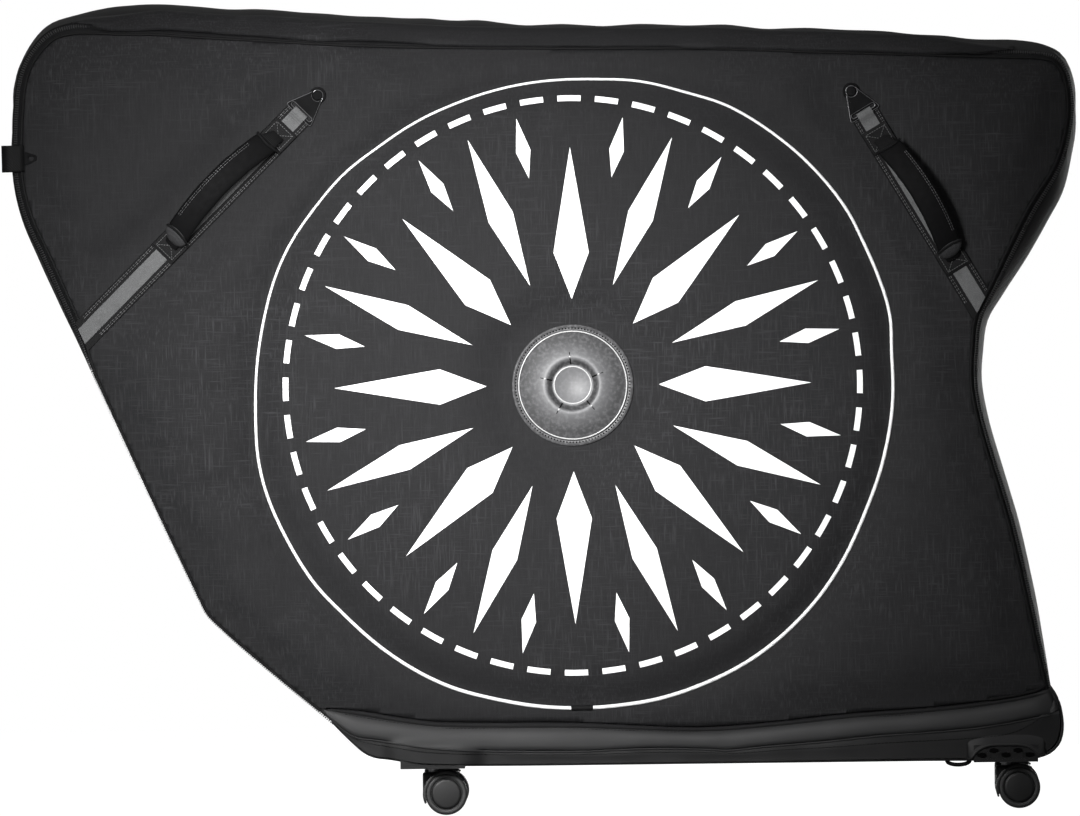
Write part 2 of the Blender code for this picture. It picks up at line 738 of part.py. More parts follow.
def build_grip(number, side):
    """A padded handle that arches from patch to patch; it swings about its two sewn feet."""
    first, second = GRIP_RUNS[number]
    rest = CLEARANCE + STRAP_THICKNESS + PATCH_THICKNESS
    pivot_height = rest + CLEARANCE + GRIP_FOOT_LIFT
    pivot = strap_frame(number, side) @ Matrix.Translation((0, 0, pivot_height))
    sideways = GRIP_LEAN * (-1 if side == "near" else 1) * (-1 if number else 1)
    sections = []
    for step in range(GRIP_STATIONS):
        share = step / (GRIP_STATIONS - 1)
        arch = sin(pi * share) ** GRIP_ARCH_POWER
        swell = min(1, GRIP_SWELL_RATIO * sin(pi * share))
        x = first + (second - first) * share
        thick = GRIP_NECK_THICKNESS + (GRIP_THICKNESS - GRIP_NECK_THICKNESS) * swell
        wide = GRIP_NECK_WIDTH + (GRIP_WIDTH - GRIP_NECK_WIDTH) * swell
        section = []
        for side_step in range(TUBE_SIDES):
            around = 2 * pi * (side_step + 0.5) / TUBE_SIDES
            y = wide / 2 * cos(around) / cos(pi / TUBE_SIDES) + sideways * arch
            z = thick / 2 * sin(around) / cos(pi / TUBE_SIDES)
            section.append((x, y, z + (GRIP_REACH - pivot_height) * arch))
        sections.append(section)
    name = f"{side}_{STRAP_NAMES[number]}_grip"
    grip = add_object(name, loft(sections), neoprene(), pivot)
    for foot, run in enumerate((first, second)):
        reach = PATCH_LENGTH / 4
        along = pivot @ Matrix.Translation((run, 0, 0)) @ Matrix.Rotation(pi / 2, 4, "Y")
        roll = post(GRIP_FOOT_LIFT, -reach, reach, ROUND_SIDES // 2)
        combine(grip, "UNION", add_cutter(f"{name}_foot_{foot}", roll, along))
    return grip


def build_hook_plate(number, side):
    """A three-cornered plate: a hole over the stud, a slot for the webbing, a bar between."""
    bar_place = STRAP_START + HOOK_BAR
    height = 2 * CLEARANCE + STUD_FLANGE + HOOK_THICKNESS / 2
    pivot = strap_frame(number, side) @ Matrix.Translation((bar_place, 0, height))
    back = HOOK_BAR / 2
    corners = [(back, -HOOK_WIDTH / 2), (back, HOOK_WIDTH / 2)]
    corners += [(back - HOOK_LENGTH, HOOK_NOSE / 2), (back - HOOK_LENGTH, -HOOK_NOSE / 2)]
    name = f"{side}_{STRAP_NAMES[number]}_hook_plate"
    bm = prism(rounded(corners, HOOK_CORNER), -HOOK_THICKNESS / 2, HOOK_THICKNESS / 2)
    plate = add_object(name, bm, black_metal(), pivot)
    spot = pivot @ Matrix.Translation((-bar_place, 0, 0))
    hole = post(HOOK_HOLE_RADIUS, -OVERRUN, OVERRUN)
    combine(plate, "DIFFERENCE", add_cutter(name + "_hole", hole, spot))
    ends = (-HOOK_SLOT_WIDTH - back, -back)
    side_edge = HOOK_SLOT_LENGTH / 2
    slot = box(ends, (-side_edge, side_edge), (-OVERRUN, OVERRUN))
    combine(plate, "DIFFERENCE", add_cutter(name + "_slot", slot, pivot))
    return plate


def build_stud(number, side):
    """A turned stud riveted to the panel."""
    frame = strap_frame(number, side) @ Matrix.Translation((0, 0, CLEARANCE))
    profile = [(0, 0), (STUD_FLANGE_RADIUS, 0), (STUD_FLANGE_RADIUS, STUD_FLANGE)]
    profile += [(STUD_RADIUS, STUD_FLANGE), (STUD_RADIUS, STUD_HEIGHT), (0, STUD_HEIGHT)]
    name = f"{side}_{STRAP_NAMES[number]}_stud"
    return add_object(name, turned(profile), black_metal(), frame)


def build_end_tab(stations):
    """Folded webbing on the rear end; it laps round the panel's edge and holds a small plate."""
    height = BASE_HEIGHT + TAB_PLACE_SHARE * BAG_HEIGHT
    run = [station for station in stations if station.out.x < 0]
    nearest = min(run, key=lambda station: abs(station.seam.y - height))
    low, high = nearest.seam.y - TAB_HEIGHT / 2, nearest.seam.y + TAB_HEIGHT / 2
    sections = []
    lift = GUSSET_THICKNESS / 2
    for z in (low, high):
        edge = nearest.seam + nearest.along * (z - nearest.seam.y)
        depths = (-CLEARANCE - TAB_THICKNESS, TAB_REACH / 2, TAB_REACH)
        outer = [edge + nearest.out * (nearest.rise(max(d, PANEL_THICKNESS)) + lift + TAB_THICKNESS)
                 for d in depths]
        inner = [edge + nearest.out * (nearest.rise(max(d, PANEL_THICKNESS)) + lift)
                 for d in depths]
        section = [(p.x, d - half_width(p.y), p.y) for p, d in zip(outer, depths)]
        behind = reversed(list(zip(inner, depths))[1:])
        section += [(p.x, d - half_width(p.y), p.y) for p, d in behind]
        section.append((inner[0].x, -CLEARANCE - half_width(inner[0].y), inner[0].y))
        lap = edge - nearest.out * TAB_LAP
        for depth in (-CLEARANCE, -CLEARANCE - TAB_THICKNESS):
            section.append((lap.x, depth - half_width(lap.y), lap.y))
        sections.append(section)
    tab = add_object("end_tab", loft(sections), black_webbing(), smooth=False)
    return tab, nearest


def build_end_tab_plate(nearest):
    """Small plate with a hole, hinged on the tab's near edge."""
    bar = TAB_PLATE_THICKNESS / 2
    spot = nearest.seam - nearest.out * (TAB_LAP + 2 * CLEARANCE + bar)
    height = CLEARANCE + TAB_THICKNESS / 2
    pivot = panel_frame(spot, "near", nearest.along) @ Matrix.Translation((0, 0, height))
    half, nose = TAB_PLATE_HEIGHT / 2, bar - TAB_PLATE_LENGTH
    corners = [(-half, bar), (-half / 3, nose), (half / 3, nose), (half, bar)]
    bm = prism(rounded(corners, bar), -bar, bar)
    plate = add_object("end_tab_plate", bm, black_metal(), pivot)
    hole = post(TAB_PLATE_HOLE_RADIUS, -OVERRUN, OVERRUN, ROUND_SIDES // 2)
    centre = pivot @ Matrix.Translation((0, nose / 2, 0))
    combine(plate, "DIFFERENCE", add_cutter("end_tab_plate_hole", hole, centre))
    return plate


def caster_spots():
    """Name, x and y of each caster, the near pair first."""
    spots = []
    side_y = half_width(BASE_HEIGHT) - CASTER_SIDE_INSET
    for side, sign in (("near", -1), ("far", 1)):
        for name, share in zip(CASTER_NAMES, CASTER_PLACE_SHARES):
            spots.append((f"{side}_{name}", share * BAG_LENGTH, sign * side_y, sign))
    return spots


def build_base_tub():
    """A tray with its rim, whose floor is drilled for the caster sockets."""
    outline = [place(shares) for shares in TUB_RIM_SHARES + TUB_FOOT_SHARES]
    tub = add_object("base_tub", body_block(outline, 0), coated_cloth(), smooth=False)
    rear, front = place(TUB_RIM_SHARES[0]), place(TUB_RIM_SHARES[-1])
    end_wall = Vector((2 * TUB_WALL, 0))
    up = Vector((0, OVERRUN))
    hollow = [rear + end_wall, rear + end_wall + up, front - end_wall + up, front - end_wall]
    for point in (place(shares) for shares in TUB_FOOT_SHARES):
        inward = end_wall if point.x < rear.lerp(front, 0.5).x else -end_wall / 2
        hollow.append(point + inward + Vector((0, TUB_FLOOR)))
    combine(tub, "DIFFERENCE", add_cutter("tub_hollow", body_block(hollow, TUB_WALL)))
    for name, x, y, _ in caster_spots():
        drill_socket_hole(tub, name, x, y)
    return tub


def drill_socket_hole(target, name, x, y):
    hole = post(SOCKET_RADIUS + CLEARANCE, 0, BASE_HEIGHT + OVERRUN)
    frame = Matrix.Translation((x, y, 0))
    combine(target, "DIFFERENCE", add_cutter(f"{target.name}_{name}_hole", hole, frame))


def board_levels():
    """Underside and top of the base board."""
    low = BASE_HEIGHT + TUB_FLOOR + CLEARANCE
    return low, low + BOARD_THICKNESS


def build_base_board():
    low, high = board_levels()
    side = half_width(high) - TUB_WALL - CLEARANCE
    ends = [share * BAG_LENGTH for share in BOARD_END_SHARES]
    corners = [(ends[0], -side), (ends[1], -side), (ends[1], side), (ends[0], side)]
    bm = prism(rounded(corners, SOCKET_RADIUS), low, high)
    board = add_object("base_board", bm, board_plastic(), smooth=False)
    for name, x, y, _ in caster_spots():
        drill_socket_hole(board, name, x, y)
    return board


def tube_height():
    """Level of the frame tube's centre line."""
    return board_levels()[1] + CLEARANCE + FRAME_TUBE_RADIUS


def frame_side():
    """Outer side of the frame tube, clear of the wheel pockets."""
    pocket = half_width(tube_height()) - PANEL_THICKNESS - CLEARANCE - POCKET_DEPTH
    return pocket - FRAME_POCKET_GAP


def build_base_frame():
    """A tube bent into a long loop that lies on the board."""
    height = tube_height()
    side = frame_side() - FRAME_TUBE_RADIUS
    rear, front = (share * BAG_LENGTH for share in FRAME_END_SHARES)
    corners = [(rear, -side), (front, -side), (front, side), (rear, side)]
    path = rounded(corners, FRAME_CORNER)
    sections = []
    for before, here, after in zip([path[-1], *path], path, [*path[1:], path[0]]):
        along = (after - before).normalized()
        across = Vector((along.y, -along.x))
        section = []
        for side_step in range(TUBE_SIDES):
            around = 2 * pi * (side_step + 0.5) / TUBE_SIDES
            spot = here + across * FRAME_TUBE_RADIUS * cos(around)
            section.append((spot.x, spot.y, height + FRAME_TUBE_RADIUS * sin(around)))
        sections.append(section)
    return add_object("base_frame", loft(sections, closed=True), zinc_metal())


def cradle_foot():
    """Underside of the cradle, on the flat tops of the tube's facets."""
    tube_top = FRAME_TUBE_RADIUS * (1 + cos(pi / TUBE_SIDES))
    return board_levels()[1] + CLEARANCE + tube_top + CLEARANCE


def build_frame_cradle():
    """A foam block that bridges the frame, with a groove across its top."""
    low = cradle_foot()
    shoulder = low + CRADLE_FOOT_HEIGHT
    top = shoulder + CRADLE_BLOCK_HEIGHT
    foot, block = frame_side(), CRADLE_BLOCK_WIDTH / 2
    outline = [(-foot, low), (foot, low), (foot, shoulder), (block, shoulder)]
    outline += [(block, top), (-block, top), (-block, shoulder), (-foot, shoulder)]
    middle = CRADLE_PLACE_SHARE * BAG_LENGTH
    ends = (middle - CRADLE_LENGTH / 2, middle + CRADLE_LENGTH / 2)
    sections = [[(x, y, z) for y, z in outline] for x in ends]
    cradle = add_object("frame_cradle", loft(sections), foam(), smooth=False)
    across = Matrix.Translation((middle, 0, top)) @ Matrix.Rotation(pi / 2, 4, "X")
    groove = post(GROOVE_RADIUS, -CRADLE_BLOCK_WIDTH, CRADLE_BLOCK_WIDTH)
    combine(cradle, "DIFFERENCE", add_cutter("groove_cutter", groove, across))
    return cradle


def build_cradle_strap():
    """Webbing that rises from one end of the cradle, arches over the groove and comes down."""
    middle = CRADLE_PLACE_SHARE * BAG_LENGTH
    top = cradle_foot() + CRADLE_FOOT_HEIGHT + CRADLE_BLOCK_HEIGHT
    reach = CRADLE_LENGTH / 2 + CLEARANCE
    crown = top + STRAP_LOOP_RISE
    corners = [(reach, top - STRAP_LOOP_TAIL), (reach, top), (reach * 3 / 4, crown)]
    inner = [*corners, *[(-x, z) for x, z in reversed(corners)]]
    outer = [(x + (STRAP_LOOP_THICKNESS if x > 0 else -STRAP_LOOP_THICKNESS), z) for x, z in inner]
    outer[2] = (outer[2][0], crown + STRAP_LOOP_THICKNESS)
    outer[3] = (outer[3][0], crown + STRAP_LOOP_THICKNESS)
    outline = [*inner, *reversed(outer)]
    edges = (-STRAP_LOOP_WIDTH / 2, STRAP_LOOP_WIDTH / 2)
    sections = [[(middle + x, y, z) for x, z in outline] for y in edges]
    return add_object("cradle_strap", loft(sections), black_webbing(), smooth=False)


def build_base_loop():
    """A short webbing loop that hangs in a U under the tub, with a gap for a cord."""
    middle = caster_spots()[1][1] - MOUNT_LENGTH / 2 - LOOP_MOUNT_GAP - LOOP_WIDTH / 2
    top = BASE_HEIGHT - CLEARANCE
    near = LOOP_INSET - half_width(BASE_HEIGHT)
    outline = []
    for thinner, order in ((0, 1), (LOOP_THICKNESS, -1)):
        across, drop = LOOP_WIDTH / 2 - thinner, LOOP_DROP - thinner
        angles = [pi + pi * step / LOOP_STEPS for step in range(LOOP_STEPS + 1)][::order]
        outline += [(middle + across * cos(a), top + drop * sin(a)) for a in angles]
    sections = [[(x, y, z) for x, z in outline] for y in (near, near + LOOP_LENGTH)]
    return add_object("base_loop", loft(sections), black_webbing(), smooth=False)


def build_mount(name, x, y, sign):
    """Caster plate under the tub, a socket up into it and a honeycombed skirt up its side."""
    edge = half_width(BASE_HEIGHT) + CLEARANCE + SKIRT_THICKNESS
    across = (y - sign * (MOUNT_WIDTH - (edge - abs(y))), sign * edge)
    along = (x - MOUNT_LENGTH / 2, x + MOUNT_LENGTH / 2)
    bm = box(along, sorted(across), (MOUNT_UNDERSIDE, MOUNT_UNDERSIDE + MOUNT_THICKNESS))
    mount = add_object(f"{name}_mount", bm, moulded_black(), smooth=False)
    foot = MOUNT_UNDERSIDE + MOUNT_THICKNESS / 2
    head = BASE_HEIGHT + SKIRT_HEIGHT
    section = [(sign * edge, foot), (sign * (edge - SKIRT_THICKNESS), foot)]
    section += [(sign * (half_width(head) + CLEARANCE), head), (sign * edge, head)]
    skirt = loft([[(end, y_at, z_at) for y_at, z_at in section] for end in along])
    combine(mount, "UNION", add_cutter(f"{name}_skirt", skirt))
    middle = Matrix.Translation((x, y, 0))
    socket = post(SOCKET_RADIUS, foot, BASE_HEIGHT + SOCKET_HEIGHT)
    combine(mount, "UNION", add_cutter(f"{name}_socket", socket, middle))
    bore = post(STEM_RADIUS + RUNNING_FIT, 0, BASE_HEIGHT + SOCKET_HEIGHT + OVERRUN)
    combine(mount, "DIFFERENCE", add_cutter(f"{name}_bore", bore, middle))
    combine(mount, "DIFFERENCE", add_cutter(f"{name}_cells", honeycomb(x, sign * edge, sign)))
    return mount


def honeycomb(x, face, sign):
    """Two staggered rows of six-sided pockets for the skirt's outer face."""
    bm = bmesh.new()
    radius = (CELL_PITCH - CELL_RIB) / sqrt(3)
    row_pitch = CELL_PITCH * sqrt(3) / 2
    columns = int((MOUNT_LENGTH - CELL_PITCH) / CELL_PITCH)
    middle = BASE_HEIGHT + SKIRT_HEIGHT / 2 - MOUNT_THICKNESS / 4
    for row in (0, 1):
        z = middle + (row - 1 / 2) * row_pitch
        for column in range(columns - row):
            across = x + (column - (columns - 1 - row) / 2) * CELL_PITCH
            rings = []
            for y in (face + sign * OVERRUN, face - sign * CELL_DEPTH):
                angles = [pi / 3 * (corner + 1 / 2) for corner in range(6)]
                spots = [(across + radius * cos(a), y, z + radius * sin(a)) for a in angles]
                rings.append([bm.verts.new(spot) for spot in spots])
            for i in range(6):
                j = (i + 1) % 6
                bm.faces.new((rings[0][i], rings[0][j], rings[1][j], rings[1][i]))
            bm.faces.new(rings[0])
            bm.faces.new(rings[1])
    return bm


def arc_band(inner, outer, start, end, steps):
    """Outline of a ring segment about the origin, in degrees."""
    angles = [radians(start + (end - start) * step / steps) for step in range(steps + 1)]
    outline = [(inner * cos(a), inner * sin(a)) for a in angles]
    return outline + [(outer * cos(a), outer * sin(a)) for a in reversed(angles)]


def build_hood(name, x, y):
    """Caster hood: a curved cover, a web between the wheels and the stem."""
    pivot = Matrix.Translation((x, y, 0))
    axle = pivot @ Matrix.Translation((TRAIL, 0, WHEEL_RADIUS)) @ Matrix.Rotation(pi / 2, 4, "X")
    half = HOOD_WEB / 2 + CLEARANCE + WHEEL_WIDTH
    cover = arc_band(WHEEL_RADIUS + HOOD_GAP, HOOD_RADIUS, HOOD_START_DEG, HOOD_END_DEG, HOOD_STEPS)
    hood = add_object(f"{name}_hood", prism(cover, -half, half), moulded_black(), axle)
    rim = HOOD_RADIUS - HOOD_THICKNESS / 2
    top = arc_band(rim, rim, HOOD_START_DEG, HOOD_END_DEG, HOOD_STEPS)[:HOOD_STEPS + 1]
    boss = [radians(degrees) for degrees in HOOD_BOSS_DEG]
    web = top + [(HOOD_BOSS_RADIUS * cos(a), HOOD_BOSS_RADIUS * sin(a)) for a in boss]
    web_bm = prism(web, -HOOD_WEB / 2, HOOD_WEB / 2)
    combine(hood, "UNION", add_cutter(f"{name}_web", web_bm, axle))
    stem_foot = WHEEL_RADIUS + sqrt(HOOD_RADIUS**2 - TRAIL**2) - HOOD_THICKNESS
    stem = post(STEM_RADIUS, stem_foot, BASE_HEIGHT + STEM_RISE, ROUND_SIDES // 2)
    combine(hood, "UNION", add_cutter(f"{name}_stem", stem, pivot))
    bore = post(AXLE_RADIUS + RUNNING_FIT, -OVERRUN, OVERRUN)
    combine(hood, "DIFFERENCE", add_cutter(f"{name}_axle_bore", bore, axle))
    return hood, axle


def wheel_profile():
    """Closed profile of one wheel, from its inner face to its dished cap."""
    bore = AXLE_RADIUS + RUNNING_FIT
    return [
        (bore, 0), (WHEEL_RADIUS - WHEEL_BEVEL, 0), (WHEEL_RADIUS, WHEEL_BEVEL),
        (WHEEL_RADIUS, WHEEL_WIDTH - WHEEL_BEVEL), (WHEEL_RADIUS - WHEEL_BEVEL, WHEEL_WIDTH),
        (WHEEL_HUB_RADIUS, WHEEL_WIDTH), (WHEEL_HUB_RADIUS - WHEEL_BEVEL, WHEEL_WIDTH - WHEEL_DISH),
        (bore, WHEEL_WIDTH - WHEEL_DISH),
    ]


def build_wheels(name, axle):
    """An axle through the hood's web, with a wheel on each end."""
    start = HOOD_WEB / 2 + CLEARANCE
    reach = start + WHEEL_WIDTH - WHEEL_DISH
    pin = add_object(f"{name}_axle", post(AXLE_RADIUS, -reach, reach, ROUND_SIDES // 2),
                     zinc_metal(), axle)
    wheels = []
    for label, turn in (("outer_wheel", 0), ("inner_wheel", pi)):
        spin = axle @ Matrix.Rotation(turn, 4, "X") @ Matrix.Translation((0, 0, start))
        wheel = add_object(f"{name}_{label}", turned(wheel_profile()), moulded_black(), spin)
        wheels.append(wheel)
    return pin, wheels


def build_casters():
    for name, x, y, sign in caster_spots():
        build_mount(name, x, y, sign)
        hood, axle = build_hood(name, x, y)
        pin, wheels = build_wheels(name, axle)
        swivel = add_axis(f"{name}_swivel_axis", Matrix.Translation((x, y, MOUNT_UNDERSIDE)))
        hang_on(swivel, [hood, pin, *wheels])


def build_strap_set(number, side, limits):
    parts = [build_strap(number, side, limits), build_grip(number, side)]
    parts += [build_hook_plate(number, side), build_stud(number, side)]
    return parts


def door_hinge_frame():
    """The door folds down along the lowest part of the tub's rim, on its outer face."""
    height = BASE_HEIGHT + min(share for _, share in TUB_RIM_SHARES) * BAG_HEIGHT
    return Matrix.Translation((0, -half_width(height), height))


def build_bag():
    stations = seam_stations()
    trimmer = rim_cutter()
    limits = seam_limits(stations)
    near_panel, _ = build_side_panels(stations, trimmer)
    build_gusset(stations, trimmer)
    door_tape, _ = build_zip_tapes(stations, trimmer)
    build_rain_flap(stations)
    for number, share in enumerate(SLIDER_PLACE_SHARES, start=1):
        slider, pull = build_zip_slider(number, zip_frame(stations, share))
        hang_on(slider, [pull])
    door = [near_panel, door_tape]
    for side, turn in (("near", lambda bm: bm), ("far", mirrored)):
        parts = [build_piping(side, turn), build_wheel_pocket(side, turn), build_hub_cover(side)]
        for number in range(len(STRAP_NAMES)):
            parts += build_strap_set(number, side, limits)
        if side == "near":
            door += parts
    tab, nearest = build_end_tab(stations)
    door += [tab, build_end_tab_plate(nearest)]
    hang_on(add_axis("door_hinge_axis", door_hinge_frame()), door)
    build_base_tub()
    build_base_board()
    build_base_frame()
    build_frame_cradle()
    build_cradle_strap()
    build_base_loop()
    build_casters()


clear_scene()
build_bag()
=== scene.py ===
# %% [markdown]
# # A soft travel bag for a bicycle
#
# This notebook dresses a bag whose solid parts already exist. The solids say where each
# piece sits and how it moves. Here every soft piece is sewn again as cloth, every hard
# piece gets its rounding and its finish, and nothing changes place. The first cell loads
# the solids; a helper there reads the box that one of them fills.

from math import cos, pi, radians, sin, sqrt

import bmesh
import bpy
import numpy as np
from mathutils import Matrix, Vector, noise


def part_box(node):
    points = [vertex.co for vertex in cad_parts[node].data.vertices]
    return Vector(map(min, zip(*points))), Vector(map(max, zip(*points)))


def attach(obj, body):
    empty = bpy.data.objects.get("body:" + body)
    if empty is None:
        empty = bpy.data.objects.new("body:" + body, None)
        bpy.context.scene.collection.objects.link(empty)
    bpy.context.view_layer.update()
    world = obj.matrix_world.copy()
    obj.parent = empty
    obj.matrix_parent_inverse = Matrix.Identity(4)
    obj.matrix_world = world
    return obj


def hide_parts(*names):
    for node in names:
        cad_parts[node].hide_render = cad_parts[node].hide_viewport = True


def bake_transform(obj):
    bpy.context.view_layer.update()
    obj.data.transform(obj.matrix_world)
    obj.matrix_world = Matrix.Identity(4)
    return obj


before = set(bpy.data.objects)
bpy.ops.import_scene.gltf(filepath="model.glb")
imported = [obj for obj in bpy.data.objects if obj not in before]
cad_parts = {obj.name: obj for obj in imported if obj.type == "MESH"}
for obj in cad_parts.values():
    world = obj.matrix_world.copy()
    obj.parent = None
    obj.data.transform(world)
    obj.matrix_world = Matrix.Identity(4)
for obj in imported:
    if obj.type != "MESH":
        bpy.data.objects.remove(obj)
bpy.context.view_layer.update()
scene = bpy.context.scene

# %% [markdown]
# ## The camera and the light
#
# A product photograph of a flat thing is taken from far away with a long lens, so that
# near and far edges have almost the same size. The camera is rolled a little because the
# bag stands a little askew in its picture. Big soft lamps light black cloth well: a small
# one would only show as a spot. The white room is what the camera sees, also through
# clear parts, while the bag itself and what it mirrors get a dimmer sky.

# %% Camera
VIEW_WIDTH = 1.2096
AIM = Vector((-0.0078, 0.0, 0.4534))
CAMERA_DISTANCE = 40.0
CAMERA_AZIMUTH_DEG = 0.4
CAMERA_RISE_DEG = 0.6
CAMERA_ROLL_DEG = -0.7
NEAR_FACE = 0.12

azimuth, rise = radians(CAMERA_AZIMUTH_DEG), radians(CAMERA_RISE_DEG)
toward = Vector((sin(azimuth) * cos(rise), -cos(azimuth) * cos(rise), sin(rise)))
camera = bpy.data.objects.new("camera", bpy.data.cameras.new("camera"))
scene.collection.objects.link(camera)
camera.data.sensor_width = 36.0
camera.data.lens = camera.data.sensor_width * (CAMERA_DISTANCE - NEAR_FACE) / VIEW_WIDTH
camera.data.clip_end = 100.0
turn = (-toward).to_track_quat("-Z", "Y").to_matrix().to_4x4()
turn = turn @ Matrix.Rotation(radians(CAMERA_ROLL_DEG), 4, "Z")
camera.matrix_world = Matrix.Translation(AIM + toward * CAMERA_DISTANCE) @ turn
scene.camera = camera
scene.view_settings.view_transform = "Standard"
print("lens", round(camera.data.lens), "mm")

# %% Lamps and sky
WHITE = (1, 1, 1, 1)
SKY_STRENGTH = 0.105
LAMPS = (
    ("left_lamp", (-1.15, -2.0, 1.45), (-0.2, 0, 0.5), (1.0, 1.0), 8),
    ("right_lamp", (3.0, -2.6, 1.4), (0, 0, 0.45), (1.4, 1.8), 5),
    ("top_lamp", (0.0, -0.5, 3.2), (0, 0, 0.6), (2.4, 1.0), 8),
    ("glow_lamp", (-0.45, -2.1, 0.90), (-0.08, 0, 0.47), (0.8, 0.8), 480),
    ("back_lamp", (0.3, 3.4, 0.55), (0, 0, 0.45), (2.2, 1.0), 75),
)
GLOW_CONE_DEG = 39

for name, place, aim, size, watts in LAMPS:
    data = bpy.data.lights.new(name, "AREA")
    data.shape = "RECTANGLE"
    data.size, data.size_y = size
    data.energy = watts
    lamp = bpy.data.objects.new(name, data)
    scene.collection.objects.link(lamp)
    lamp.location = place
    lamp.rotation_euler = (Vector(aim) - Vector(place)).to_track_quat("-Z", "Y").to_euler()
glow = bpy.data.objects["glow_lamp"]
glow.data.type = "SPOT"
glow.data.spot_size = radians(GLOW_CONE_DEG)
glow.data.spot_blend = 1.0
glow.data.shadow_soft_size = 0.35


class Nodes:
    """A node tree under construction, with short ways to add and join nodes."""

    def __init__(self, tree):
        self.tree = tree

    def give(self, socket, value):
        """Links an output to a socket, or sets the socket to a constant."""
        if isinstance(value, bpy.types.NodeSocket):
            self.tree.links.new(value, socket)
        else:
            socket.default_value = value

    def node(self, kind, **inputs):
        """Adds a node; an input is given by its name, or by its number as in _2."""
        made = self.tree.nodes.new("ShaderNode" + kind)
        for key, value in inputs.items():
            self.give(made.inputs[int(key[1:]) if key[1:].isdigit() else key], value)
        return made

    def math(self, operation, *values):
        made = self.node("Math")
        made.operation = operation
        for socket, value in zip(made.inputs, values):
            self.give(socket, value)
        return made.outputs[0]


scene.world = bpy.data.worlds.new("white_room")
scene.world.use_nodes = True
sky = Nodes(scene.world.node_tree)
sky.tree.nodes.clear()
rays = sky.node("LightPath").outputs
seen = sky.math("MAXIMUM", rays["Is Camera Ray"], rays["Is Transmission Ray"])
dim = sky.node("Background", Color=WHITE, Strength=SKY_STRENGTH).outputs[0]
bright = sky.node("Background", Color=WHITE, Strength=1.0).outputs[0]
mixed = sky.node("MixShader", _0=seen, _1=dim, _2=bright).outputs[0]
sky.node("OutputWorld", Surface=mixed)
print("lamps:", len(LAMPS))

# %% [markdown]
# ## Finishes
#
# Black cloth is never one black. Its threads differ a little in thickness, so the light
# catches thin upright and level streaks. A finish here starts from one Principled shader.
# Small helpers add noise, streaks and bumps to it, always in metres on the object's own
# coordinates, so that a thread has the same size on every piece.

# %% Material helpers
HUB = (0.0301, 0.4798)


def shade(colour, factor):
    return tuple(min(1.0, factor * part) for part in colour)


class Finish(Nodes):
    """A material under construction round its Principled shader."""

    def __init__(self, name, colour, roughness, metallic=0.0, **sockets):
        self.material = bpy.data.materials.new(name)
        self.material.use_nodes = True
        super().__init__(self.material.node_tree)
        self.shader = self.tree.nodes["Principled BSDF"]
        self.base, self.normal = (*colour, 1), None
        sockets.update(Base_Color=self.base, Roughness=roughness, Metallic=metallic)
        for socket, value in sockets.items():
            self.shader.inputs[socket.replace("_", " ")].default_value = value

    def coordinates(self, scale=(1, 1, 1), centre=(0, 0, 0)):
        """Object coordinates in metres, stretched and moved by a Mapping."""
        start = self.node("TexCoord").outputs["Object"]
        return self.node("Mapping", Vector=start, Location=centre, Scale=scale).outputs[0]

    def noise(self, size, detail=2.0, **where):
        vector = self.coordinates(**where)
        return self.node("TexNoise", Vector=vector, Scale=size, Detail=detail).outputs["Fac"]

    def wave(self, direction, scale, distortion=0.0):
        made = self.node("TexWave", Vector=self.coordinates(), Scale=scale, Distortion=distortion)
        made.bands_direction = direction
        return made.outputs["Fac"]

    def round_hub(self):
        """Offsets and distance from the hub's axis in the side view."""
        place = self.node("SeparateXYZ", Vector=self.coordinates()).outputs
        x, z = (self.math("SUBTRACT", place[axis], middle) for axis, middle in zip("XZ", HUB))
        square = self.math("ADD", self.math("MULTIPLY", x, x), self.math("MULTIPLY", z, z))
        return x, z, self.math("SQRT", square)

    def spread(self, value, low, high, to_low=0.0, to_high=1.0):
        """Maps one range of values onto another."""
        limits = {"From Min": low, "From Max": high, "To Min": to_low, "To Max": to_high}
        return self.node("MapRange", Value=value, **limits).outputs[0]

    def tint(self, factor, other):
        """Mixes another colour over the base colour where the factor is high."""
        mixed = self.tree.nodes.new("ShaderNodeMix")
        mixed.data_type = "RGBA"
        self.give(mixed.inputs["Factor"], factor)
        self.give(mixed.inputs[6], self.base)
        self.give(mixed.inputs[7], (*other, 1))
        self.base = mixed.outputs[2]
        self.give(self.shader.inputs["Base Color"], self.base)

    def rough(self, value, low, high):
        self.give(self.shader.inputs["Roughness"], self.spread(value, 0, 1, low, high))

    def bump(self, height, depth, strength=0.5):
        """Adds a relief of the given depth in metres."""
        made = self.node("Bump", Height=height, Distance=depth, Strength=strength)
        if self.normal is not None:
            self.give(made.inputs["Normal"], self.normal)
        self.normal = made.outputs[0]
        self.give(self.shader.inputs["Normal"], self.normal)


# %% [markdown]
# ## The floor
#
# The floor is a wide disc. Seen by the camera it is mostly plain white, and one part in
# five is a lit surface that still takes the shadow of the bag.

# %% Floor
FLOOR_RADIUS = 5.0
FLOOR_LEVEL = -0.0005
PLAIN_WHITE_SHARE = 0.8
FLOOR_GLOW = 1.24

